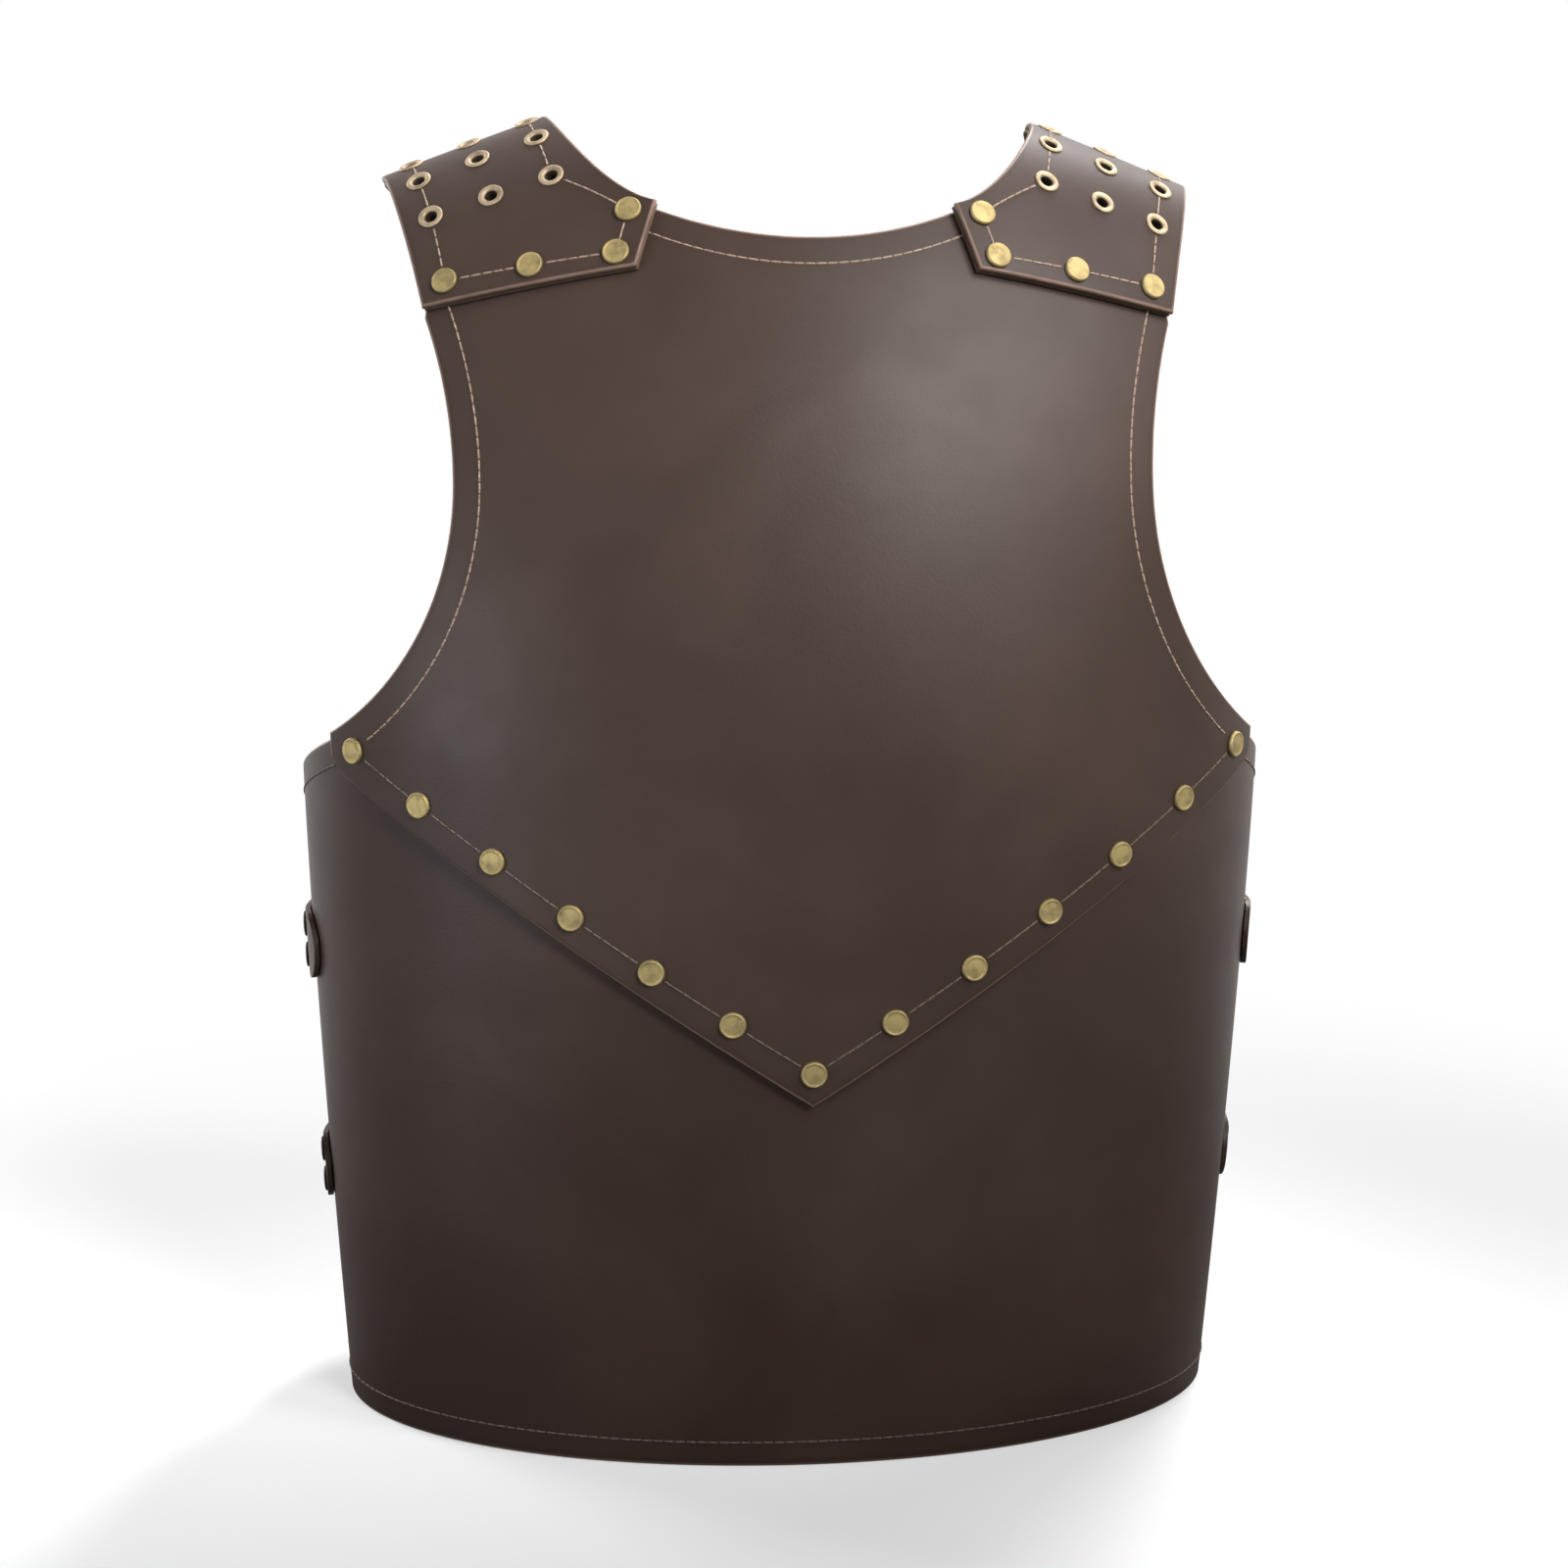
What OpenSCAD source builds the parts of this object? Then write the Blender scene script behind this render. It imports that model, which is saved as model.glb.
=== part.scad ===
// Leather breastplate: a front half of two overlapping plates, a back half,
// two riveted shoulder pieces with lacing eyelets, and two buckled straps a side.
// Millimetres. +Z is up and the front faces -Y. The hem stands on z = 0.
// Left and right are the wearer's: left is +X.

/* [Torso] */
// Half width across the hem
hem_half_w = 168.5; // [150:0.5:190]
// Half width across the chest line
chest_half_w = 183; // [165:0.5:205]
// Depth from the middle to the front at the hem
hem_front_d = 98; // [85:0.5:115]
// Depth from the middle to the front at the chest line
chest_front_d = 111; // [95:0.5:130]
// Depth from the middle to the back at the hem
hem_back_d = 101; // [85:0.5:118]
// Depth from the middle to the back at the chest line
chest_back_d = 115; // [95:0.5:132]
// Height of the chest line, above which the body leans in to the shoulders
chest_line_z = 262; // [240:1:285]
// Height that the shoulder line aims for above the neck
shoulder_top_z = 518.5; // [500:0.5:535]
// Fall of the shoulder line for each millimetre outwards
shoulder_fall = 0.40; // [0.3:0.01:0.5]
// Rounding of the shoulder line over the neck
shoulder_round = 40; // [20:1:60]
// How far the shoulder crest sits behind the middle
shoulder_set_back = 4; // [0:0.5:12]
// Fullness of the chest: higher keeps the body upright for longer
chest_fullness = 1.7; // [1.4:0.05:2.2]

/* [Leather] */
// Thickness of the body plates
plate_t = 3.5; // [2.5:0.1:4.5]
// Thickness of the top leather of a shoulder piece
shoulder_t = 2.4; // [1.8:0.1:3.2]
// Thickness of the lining under a shoulder piece
lining_t = 1.4; // [1:0.1:2]
// Thickness of the billet straps
billet_t = 2; // [1.6:0.1:2.6]
// Thickness of one ply of a folded chape
chape_ply_t = 1.5; // [1.2:0.1:2]
// Gap that is left between two leathers that lie on each other
seat_gap = 0.4; // [0.3:0.05:0.6]
// Gap between the chest plate and the plates behind it
chest_gap = 0.6; // [0.5:0.05:0.9]
// Gap between a shoulder piece's top leather and its lining
ply_gap = 0.2; // [0.15:0.05:0.4]

/* [Chest plate] */
// Height of the tip of the V
v_tip_z = 138.6; // [120:0.5:160]
// Rise of the V edge for each millimetre outwards
v_rise = 0.635; // [0.5:0.005:0.7]
// Rivet line above the V edge
v_inset = 12.4; // [10:0.2:16]
// Number of rivets on each side of the one at the tip
v_side_count = 6; // [4:1:6]
// How far inside the lower corner the last rivet of the V stands
v_end_inset = 4; // [2:0.5:8]
// Size of the cut across each lower corner
corner_cut = 4.6; // [3:0.2:6]
// Height of the neck edge in the middle
neck_z = 440; // [425:1:450]
// Radius of the neck edge
neck_r = 152; // [120:1:200]

/* [Armholes] */
// Half width between the armholes at their narrowest
arm_half_w = 123; // [112:0.5:132]
// Height of the narrowest place
arm_z = 355; // [335:1:370]
// Radius of the lower curve at the front
arm_low_r = 115; // [105:1:125]
// Radius of the lower curve at the back
arm_back_r = 175; // [150:1:200]
// Radius of the upper curve
arm_high_r = 170; // [130:1:240]

/* [Sides] */
// Angle round the body at which the front plate ends
front_end_a = 96; // [94:0.5:98]
// Angle round the body at which the back plate starts
back_end_a = 104; // [102:0.5:106]
// Overlap of the belly plate behind the V edge
belly_overlap = 26; // [22:0.5:32]
// Drop of the belly plate's wing below the chest plate's armhole
wing_drop = 2.5; // [2:0.5:5]
// Angle round the body at which the wing leaves the armhole and runs on straight
wing_a = 63; // [60:0.5:66]
// Fall of the wing for each degree round the body beyond that
wing_fall = 0.77; // [0.5:0.01:0.9]

/* [Shoulder pieces] */
// Distance of the inner bottom corner from the middle
inner_corner_x = 58.6; // [54:0.2:64]
// Place of the inner bottom corner up the shoulder arch
inner_corner_a = 49.6; // [47:0.1:51]
// Distance of the neck corner from the middle
neck_corner_x = 51.1; // [47:0.1:53]
// Place of the neck corner up the shoulder arch
neck_corner_a = 57.1; // [55.5:0.1:59]
// Place of the outer bottom corner up the shoulder arch
outer_corner_a = 51.5; // [49:0.1:53]
// Distance of the neck edge from the middle at the crest
crest_in_x = 88; // [84:0.5:92]
// How much wider the back half of the neck opening is at its corners
back_neck_extra = 12.5; // [8:0.5:16]
// Height of the back plate's neck edge in the middle
back_neck_z = 436; // [425:1:440]
// Distance of the outer edge from the middle at the crest
crest_out_x = 148; // [145:0.5:153]
// How far the shoulder piece leans out on its way to the crest
shoulder_lean = 33.6; // [28:0.2:38]
// Distance of the rivets and stitching from the edge
shoulder_inset = 9.5; // [8:0.25:11]
// Spacing of the eyelet columns
eyelet_col = 21; // [18:0.25:22]
// Spacing of the eyelet rows along the arch
eyelet_row = 17; // [15:0.25:18]
// Rows of eyelets before and behind the crest together
eyelet_rows = 6; // [2:2:6]

/* [Rivets and eyelets] */
// Radius of a rivet cap
cap_r = 4.8; // [4:0.1:5.2]
// Height of a rivet cap
cap_h = 1.4; // [1:0.1:1.8]
// Radius of a rivet post
post_r = 1.5; // [1.2:0.05:1.8]
// Radius of a rivet burr
burr_r = 4.2; // [3.6:0.1:4.8]
// Thickness of a rivet burr
burr_t = 0.9; // [0.7:0.05:1.2]
// Radius of an eyelet's hole
eyelet_hole_r = 2.3; // [2:0.05:2.5]
// Wall of an eyelet's barrel
eyelet_wall = 0.5; // [0.4:0.05:0.7]
// Radius of an eyelet's flange
eyelet_flange_r = 4.7; // [4.4:0.1:5.4]
// Height of an eyelet's rolled flange
eyelet_flange_h = 0.8; // [0.7:0.05:1.2]
// Clearance of a post or barrel in its hole
hole_gap = 0.25; // [0.15:0.05:0.4]

/* [Side straps] */
// Height of the upper straps
upper_strap_z = 178; // [165:1:190]
// Height of the lower straps
lower_strap_z = 89; // [75:1:100]
// Width of the straps
strap_w = 25; // [22:0.5:28]
// Angle round the body at which an upper billet starts
upper_start_a = 78.5; // [77:0.5:80]
// Angle round the body at which a lower billet starts
lower_start_a = 84; // [82:0.5:85]
// Angle round the body of the billet's rivets
billet_rivet_a = 90; // [89:0.25:91]
// Angle round the body of the buckle's toe bar
toe_a = 107; // [106.5:0.25:108]
// Length of the buckle between its toe and heel bars
buckle_l = 21; // [20:0.25:22]
// Distance from the heel bar to the middle of the keeper
keeper_d = 13.5; // [13:0.25:14]
// Width of the keeper along the strap
keeper_w = 8; // [6:0.25:9]
// Distance from the heel bar to the chape's rivets
chape_rivet_d = 27; // [26:0.5:30]
// Distance from the heel bar to the end of the chape
chape_end_d = 36; // [35:0.5:40]
// Distance from the heel bar to the end of the billet
billet_end_d = 70; // [64:0.5:80]
// Radius of the wire of the buckle frame
wire_r = 1.5; // [1.3:0.05:1.7]
// Radius of the buckle's prong
prong_r = 1.2; // [1:0.05:1.3]
// Play of the prong's eye on the heel bar
pivot_gap = 0.08; // [0.05:0.01:0.1]
// Wall of the prong's eye
prong_eye_wall = 1.3; // [1.1:0.05:1.4]
// Radius of the punched holes in the billet
punch_r = 2; // [1.8:0.05:2.2]
// Spacing of the punched holes
punch_pitch = 18; // [17:0.25:20]
// Length of the slot that the prong has worn in its hole
prong_slot_l = 12; // [11:0.25:13]
// Distance of a pair of rivets from the strap's centre line
rivet_pair_z = 6; // [5.5:0.25:6.5]
// Gap round the keeper, where it slides
keeper_gap = 0.45; // [0.35:0.05:0.5]
// Thickness of the keeper's leather
keeper_t = 0.75; // [0.7:0.05:0.9]

/* [Hidden] */

leather = [0.29, 0.235, 0.20];
dark_leather = [0.20, 0.16, 0.14];
lining_leather = [0.36, 0.29, 0.23];
brass = [0.66, 0.58, 0.32];
dark_brass = [0.16, 0.13, 0.10];

LEFT = 1;
RIGHT = -1;
UPPER = 0;
LOWER = 1;

// Round features stay smooth; rivets repeat often, so theirs are modest.
rivet_fn = 32;
wire_fn = 32;

// How quickly the body swells above the hem
side_swell = 1.35;
// Lean of the outer edge of a shoulder piece: higher keeps it straight for longer at the crest
lean_power = 1.5;
// How far the V edge steepens towards the sides, per square millimetre
v_curl = 0.00032;
// Upper corners of the chest plate under the shoulder pieces
tab_step = [5, 1.3];
tab_out_x = 130;
tab_out_z = 432;
// Highest place at which the armhole edge shows below a shoulder piece
arm_top_z = 411;
// Share of a straight line in the curve of a shoulder piece's neck edge
neck_edge_straight = 0.2;
// Place of the chest plate's lower corner, as a share of the half width
cut_share = 0.8855;
// Small step for slopes worked out by differences
step_a = 0.4;
step_z = 0.2;

// Offsets from the body surface, outwards
chest_in = chest_gap;
chest_out = chest_in + plate_t;
shoulder_rise = chest_out;
lining_in = seat_gap - 0.1;
lining_out = lining_in + lining_t;
top_in = lining_out + ply_gap;
top_out = top_in + shoulder_t;
cap_gap = 0.25;
// Depth of a burr's seat below the face of a plate: the shoulders are curved more, and need more
burr_drop = 0.6;
shoulder_burr_drop = 0.8;
burr_bite = 0.2;
// Gap between an eyelet's inner flange and the curved lining
eyelet_drop = 0.8;
post_hole_r = post_r + hole_gap;
barrel_r = eyelet_hole_r + eyelet_wall;
barrel_hole_r = barrel_r + hole_gap;

// Offsets of the strap parts from the plate under them
chape_low = keeper_t + 2 * keeper_gap;
eye_r = wire_r + pivot_gap + chape_ply_t;
heel_n = chape_low + eye_r;
chape_seat = chape_low + 0.12;
chape_h = 2 * chape_ply_t;
strap_cap_h = 0.9;
billet_low = seat_gap + 0.1;
billet_over_eye = heel_n + eye_r + 0.3;
billet_high = chape_seat + chape_h + seat_gap;
toe_n = billet_low + billet_t + seat_gap + wire_r;
prong_tip_n = toe_n + wire_r + 0.3 + prong_r;
buckle_half_w = strap_w / 2 + 1 + wire_r;

// Body surface

function hump(z) = 1 - pow(1 - min(1, z / chest_line_z), side_swell);
function body_half_w(z) = hem_half_w + (chest_half_w - hem_half_w) * hump(z);
function front_d(z) = hem_front_d + (chest_front_d - hem_front_d) * hump(z);
function back_d(z) = hem_back_d + (chest_back_d - hem_back_d) * hump(z);
function crest_z(x) = shoulder_top_z - shoulder_fall * sqrt(x * x + shoulder_round * shoulder_round);
function rise(x, z) = max(0, min(0.9999, (z - chest_line_z) / (crest_z(x) - chest_line_z)));

// A point at angle a round the body from its front centre, 180 at the back, and height z
function skin(a, z) =
    let (x = body_half_w(z) * sin(a),
         q = rise(x, z),
         depth = cos(a) > 0 ? front_d(z) : back_d(z))
    [x, shoulder_set_back * q * q - depth * cos(a) * sqrt(1 - pow(q, chest_fullness)), z];

function unit(v) = v / norm(v);
function skin_normal(a, z) =
    unit(cross(skin(a + step_a, z) - skin(a - step_a, z), skin(a, z + step_z) - skin(a, z - step_z)));
function off_skin(a, z, n) =
    let (p = skin(a, z) + n * skin_normal(a, z))
    [p.x, p.y, z <= 0 ? 0 : p.z];
function angle_of(x, z) = asin(max(-1, min(1, x / body_half_w(z))));

// A point of the shoulder arch: f is 90 at the crest, less in front and more behind
function arch(x, f) =
    let (q = pow(sin(f), 2 / chest_fullness),
         depth = (f < 90 ? chest_front_d : chest_back_d) * sqrt(1 - pow(x / chest_half_w, 2)))
    [x, shoulder_set_back * q * q - depth * cos(f), chest_line_z + (crest_z(x) - chest_line_z) * q];
function arch_normal(x, f) =
    unit(cross(arch(x + step_a, f) - arch(x - step_a, f), arch(x, f + step_a) - arch(x, f - step_a)));
function arch_step(x, f, d) = d / norm(arch(x, f + 0.5) - arch(x, f - 0.5));
// The shoulder pieces lie on the chest plate in front and on the back plate behind.
function seat_of(f) =
    let (s = max(0, min(1, (f - 64) / 52)))
    shoulder_rise * (1 - s * s * (3 - 2 * s));
function off_arch(x, f, n) = arch(x, f) + (n + seat_of(f)) * arch_normal(x, f);

// A closed solid between two grids of points, rows by columns, the first grid outside.
// An even grid has its diagonals mirrored about its middle column.

module shell(outer, inner, even = false) {
    rows = len(outer);
    cols = len(outer[0]);
    count = rows * cols;
    function at(i, j, k) = k * count + i * cols + j;
    function face(p, q, r, k) = [at(p[0], p[1], k), at(q[0], q[1], k), at(r[0], r[1], k)];
    function two_faces(a, b, c, d, e, f) = [face(a, b, c, 0), face(d, e, f, 0), face(c, b, a, 1), face(f, e, d, 1)];
    points = concat([for (row = outer) each row], [for (row = inner) each row]);
    skins = [for (i = [0:rows - 2], j = [0:cols - 2])
        let (a = [i, j], b = [i + 1, j], c = [i + 1, j + 1], d = [i, j + 1])
        each even && j < (cols - 1) / 2 ? two_faces(a, b, d, b, c, d) : two_faces(a, b, c, a, c, d)];
    sides = [for (i = [0:rows - 2]) each [
        [at(i, 0, 0), at(i, 0, 1), at(i + 1, 0, 1)],
        [at(i, 0, 0), at(i + 1, 0, 1), at(i + 1, 0, 0)],
        [at(i, cols - 1, 0), at(i + 1, cols - 1, 1), at(i, cols - 1, 1)],
        [at(i, cols - 1, 0), at(i + 1, cols - 1, 0), at(i + 1, cols - 1, 1)]]];
    ends = [for (j = [0:cols - 2]) each [
        [at(0, j, 0), at(0, j + 1, 1), at(0, j, 1)],
        [at(0, j, 0), at(0, j + 1, 0), at(0, j + 1, 1)],
        [at(rows - 1, j, 0), at(rows - 1, j, 1), at(rows - 1, j + 1, 1)],
        [at(rows - 1, j, 0), at(rows - 1, j + 1, 1), at(rows - 1, j + 1, 0)]]];
    polyhedron(points, concat(skins, sides, ends));
}

// Outlines of the plates

function v_edge_z(x) = v_tip_z + v_rise * abs(x) + v_curl * x * x;
function arm_x(z, low_r) =
    z < arm_z
    ? arm_half_w + low_r - sqrt(low_r * low_r - pow(arm_z - z, 2))
    : arm_half_w + arm_high_r - sqrt(arm_high_r * arm_high_r - pow(z - arm_z, 2));
function arm_low_z(x, low_r) = arm_z - sqrt(low_r * low_r - pow(arm_half_w + low_r - x, 2));
function neck_edge_z(x) = neck_z + neck_r - sqrt(neck_r * neck_r - x * x);

// The neck corner of each half: its distance from the middle and its height
back_corner_x = neck_corner_x + back_neck_extra;
front_corner = [neck_corner_x, neck_edge_z(neck_corner_x)];
back_corner = [back_corner_x, arch(back_corner_x, neck_corner_a).z];

// Where the chest plate's lower corner is cut across: the lower end and the upper end of the cut
cut_low_x = cut_share * chest_half_w;
cut_high_z = v_edge_z(cut_low_x) + 1.4 * corner_cut;
cut_high_x = cut_low_x + corner_cut;
arm_start_z = arm_low_z(cut_high_x + 0.3, arm_low_r);

neck_cols = 7;
tab_cols = 9;
half_cols = neck_cols + tab_cols;

// The top edge from the middle outwards: the neck, then the tab under the shoulder piece
function top_edge(s, behind) =
    let (k = abs(s) * half_cols,
         corner = behind ? back_corner : front_corner,
         middle_z = behind ? back_neck_z : neck_z,
         tab = corner + tab_step,
         m = k / (neck_cols - 1),
         p = k <= neck_cols - 1
             ? [corner.x * m, behind ? lerp(middle_z, corner.y, m * m) : neck_edge_z(corner.x * m)]
             : k <= neck_cols
             ? lerp(corner, tab, k - neck_cols + 1)
             : lerp(tab, [tab_out_x, tab_out_z], (k - neck_cols) / tab_cols))
    [sign(s) * p.x, p.y];

function lerp(a, b, s) = a + (b - a) * s;

// Heights down the side of the chest plate, from the end of the V to the tab
arm_rows = 15;
function chest_side_z(i) =
    i == 0 ? v_edge_z(cut_low_x)
    : i == 1 ? cut_high_z
    : i <= arm_rows + 1 ? lerp(arm_start_z, arm_top_z, (i - 2) / (arm_rows - 1))
    : tab_out_z;
function chest_side_x(i) =
    i == 0 ? cut_low_x
    : i == 1 ? cut_high_x
    : i <= arm_rows + 1 ? arm_x(chest_side_z(i), arm_low_r)
    : tab_out_x;
chest_rows = arm_rows + 2;

// A grid that spreads from a bottom edge to the top edge and follows a side edge.
// Each point is an angle round the body and a height.
function spread(s, low_a, low_z, side_a, m, behind = false) =
    let (top = top_edge(s, behind),
         top_a = angle_of(top.x, top.y),
         end_low = low_a[1],
         end_top = angle_of(tab_out_x, tab_out_z),
         z = lerp(low_z, top.y, m))
    [lerp(low_a[0], top_a, m) + s * (side_a - lerp(end_low, end_top, m)), z];

v_end_a = angle_of(cut_low_x, v_edge_z(cut_low_x));
function chest_cell(i, j) =
    let (s = j / half_cols,
         share = (chest_side_z(i) - chest_side_z(0)) / (tab_out_z - chest_side_z(0)),
         low_a = s * v_end_a,
         low_x = chest_half_w * sin(low_a),
         low_z = v_edge_z(low_x) + abs(s) * (v_edge_z(cut_low_x) - v_edge_z(chest_half_w * sin(v_end_a))))
    spread(s, [low_a, v_end_a], low_z,
           angle_of(chest_side_x(i), chest_side_z(i)), share);

module plate(cells, n_out, n_in, behind = false) {
    function turn(c) = behind ? 180 - c[0] : c[0];
    grid = [for (row = cells) behind ? [for (j = [len(row) - 1:-1:0]) row[j]] : row];
    shell([for (row = grid) [for (c = row) off_skin(turn(c), c[1], n_out)]],
          [for (row = grid) [for (c = row) off_skin(turn(c), c[1], n_in)]], true);
}

// Belly plate: from the hem to a top edge behind the V, and up to the wings
belly_cols = 18;
belly_rows = 8;
function belly_top_z(a) =
    let (x = chest_half_w * sin(min(abs(a), wing_a)))
    min(v_edge_z(x) + belly_overlap, arm_low_z(max(x, arm_half_w + 1), arm_low_r) - wing_drop)
    - wing_fall * max(0, abs(a) - wing_a);

// Back plate: one piece from the hem to the neck
back_low_rows = 7;
back_a = 180 - back_end_a;
wing_back_z = arm_low_z(chest_half_w * sin(back_a), arm_back_r);
back_rows = back_low_rows + arm_rows + 1;
function back_side_z(i) =
    i <= back_low_rows ? lerp(0, wing_back_z, i / back_low_rows)
    : i < back_rows ? lerp(wing_back_z, arm_top_z, (i - back_low_rows) / arm_rows)
    : tab_out_z;
function back_side_a(i) =
    i <= back_low_rows ? back_a
    : i < back_rows ? angle_of(arm_x(back_side_z(i), arm_back_r), back_side_z(i))
    : angle_of(tab_out_x, tab_out_z);
function back_cell(i, j) =
    let (s = j / half_cols,
         share = back_side_z(i) / tab_out_z)
    spread(s, [s * back_a, back_a], 0, back_side_a(i), share, true);

// Rivets along the V: equal steps over the curved leather, each side of the middle
function v_row_point(x) = let (z = v_edge_z(x) + v_inset) skin(angle_of(x, z), z);
v_parts = 120;
v_end_x = cut_low_x - v_end_inset;
v_lengths = [for (i = [0:v_parts - 1])
    norm(v_row_point(v_end_x * (i + 1) / v_parts) - v_row_point(v_end_x * i / v_parts))];
v_along = [for (i = 0, sum = 0; i <= v_parts; sum = sum + (i < v_parts ? v_lengths[i] : 0), i = i + 1) sum];
v_half = [for (k = [0:v_side_count])
    lookup(k * v_along[v_parts] / v_side_count, [for (i = [0:v_parts]) [v_along[i], v_end_x * i / v_parts]])];
v_all = concat([for (i = [v_side_count:-1:1]) -v_half[i]], v_half);

// Stands a child on the body surface at angle a and height z, its z axis outwards
module on_point(p, n) {
    translate(p) rotate([0, acos(n.z), atan2(n.y, n.x)]) children();
}
module on_skin(a, z) {
    on_point(skin(a, z), skin_normal(a, z)) children();
}
module on_v_row() {
    for (x = v_all) {
        z = v_edge_z(x) + v_inset;
        on_skin(angle_of(x, z), z) children();
    }
}

// Fasteners, standing on z = 0 at the body surface

module rivet(cap_z, tail_z, h = cap_h) {
    rotate_extrude($fn = rivet_fn)
        polygon([[0, tail_z], [post_r, tail_z], [post_r, cap_z], [cap_r, cap_z],
                 [cap_r, cap_z + 0.35 * h], [0.94 * cap_r, cap_z + 0.62 * h],
                 [0.72 * cap_r, cap_z + 0.84 * h], [0.4 * cap_r, cap_z + 0.96 * h],
                 [0, cap_z + h]]);
}
function tail_z(drop) = -plate_t - drop - burr_t - burr_bite;
module burr(drop) {
    top_z = -plate_t - drop;
    rotate_extrude($fn = rivet_fn)
        polygon([[post_r + 0.1, top_z], [burr_r, top_z], [burr_r, top_z - 0.6 * burr_t],
                 [0.85 * burr_r, top_z - burr_t], [post_r + 0.1, top_z - burr_t]]);
}
module post_hole(low, high) {
    translate([0, 0, low]) cylinder(r = post_hole_r, h = high - low, $fn = rivet_fn);
}
module eyelet(low, high) {
    flange = 0.5;
    inner_r = barrel_r + 1.2;
    rotate_extrude($fn = rivet_fn)
        polygon([[eyelet_hole_r, low - flange], [inner_r, low - flange],
                 [inner_r, low], [barrel_r, low], [barrel_r, high],
                 [eyelet_flange_r, high], [eyelet_flange_r, high + 0.3 * eyelet_flange_h],
                 [0.84 * eyelet_flange_r, high + 0.85 * eyelet_flange_h],
                 [0.68 * eyelet_flange_r, high + eyelet_flange_h],
                 [eyelet_hole_r + 0.35, high + 0.75 * eyelet_flange_h],
                 [eyelet_hole_r, high + 0.2 * eyelet_flange_h]]);
}

// Shoulder pieces

// The neck edge from the neck corner, s = 0, to the crest, s = 1
function neck_side(s) =
    let (t = 90 * s)
    [lerp(neck_corner_x, crest_in_x, sin(t)),
     lerp(neck_corner_a, 90, (1 - neck_edge_straight) * (1 - cos(t)) + neck_edge_straight * sin(t))];
function outer_side_x(f) = crest_out_x - shoulder_lean * pow(abs(cos(f)), lean_power);
shoulder_half_rows = 11;
shoulder_cols = 8;
function shoulder_in(i) =
    i == 0 ? [inner_corner_x, inner_corner_a] : neck_side((i - 1) / (shoulder_half_rows - 1));
function shoulder_out(i) =
    let (f = lerp(outer_corner_a, 90, (shoulder_in(i)[1] - inner_corner_a) / (90 - inner_corner_a)))
    [outer_side_x(f), f];
// Behind the crest the neck edge stands further out, at the place f up the arch.
function back_extra(f) =
    let (t = max(0, min(1, (f - neck_corner_a) / (90 - neck_corner_a))))
    back_neck_extra * pow(1 - t * t * t, 1.5);
function shoulder_cell(i, j) =
    let (front = i <= shoulder_half_rows,
         k = front ? i : 2 * shoulder_half_rows - i,
         c_in = shoulder_in(k) + [front ? 0 : back_extra(shoulder_in(k)[1]), 0],
         c = lerp(c_in, shoulder_out(k), j / shoulder_cols))
    front ? c : [c.x, 180 - c.y];

module shoulder_shell(n_out, n_in) {
    cells = [for (i = [0:2 * shoulder_half_rows]) [for (j = [0:shoulder_cols]) shoulder_cell(i, j)]];
    shell([for (row = cells) [for (c = row) off_arch(c.x, c.y, n_out)]],
          [for (row = cells) [for (c = row) off_arch(c.x, c.y, n_in)]]);
}

// Rivets near the bottom edge and the neck corner, as places on the arch
function inset_a(x, f) = arch_step(x, f, shoulder_inset);
rivet_out = let (f = outer_corner_a + 0.75 * inset_a(outer_side_x(outer_corner_a), outer_corner_a))
    [outer_side_x(f) - shoulder_inset, f];
rivet_in = [inner_corner_x + 0.7 * shoulder_inset,
            inner_corner_a + 0.7 * inset_a(inner_corner_x, inner_corner_a)];
rivet_mid = lerp(rivet_in, rivet_out, 0.5);
rivet_neck = [neck_corner_x + shoulder_inset, neck_corner_a - 0.5];
front_rivets = [rivet_out, rivet_mid, rivet_in, rivet_neck];
back_rivets = [for (c = [rivet_out, rivet_mid + [back_neck_extra / 2, 0],
                         rivet_in + [back_neck_extra, 0], rivet_neck + [back_neck_extra, 0]])
    [c.x, 180 - c.y]];

row_a = arch_step(crest_out_x - shoulder_inset - eyelet_col, 78, eyelet_row);
eyelet_places = [for (r = [0:eyelet_rows - 1], c = [0:2])
    let (f = 90 + (r - (eyelet_rows - 1) / 2) * row_a,
         col = eyelet_col - (f > 90 ? back_extra(180 - f) / 2 : 0))
    [outer_side_x(f) - shoulder_inset - 1 - c * col, f]];

module on_arch(c) {
    on_point(arch(c.x, c.y), arch_normal(c.x, c.y)) translate([0, 0, seat_of(c.y)]) children();
}
module on_shoulder_rivets() {
    for (c = concat(front_rivets, back_rivets)) on_arch(c) children();
}
module side_of(side) {
    if (side == LEFT) children();
    else mirror([1, 0, 0]) children();
}
module shoulder_leather(side, n_out, n_in) {
    side_of(side) difference() {
        shoulder_shell(n_out, n_in);
        on_shoulder_rivets() post_hole(n_in - 2, n_out + 2);
        for (c = eyelet_places)
            on_arch(c) translate([0, 0, n_in - 2])
                cylinder(r = barrel_hole_r, h = n_out - n_in + 4, $fn = rivet_fn);
    }
}

// Side straps, each in a frame of its own: x outwards, y to the back, z along the side of the body,
// with its origin on the side of the body at the strap's height.

function strap_z(level) = level == UPPER ? upper_strap_z : lower_strap_z;
function start_a(level) = level == UPPER ? upper_start_a : lower_start_a;
function side_lean(level) =
    let (z = strap_z(level)) atan2(body_half_w(z + 1) - body_half_w(z - 1), 2);

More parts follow.
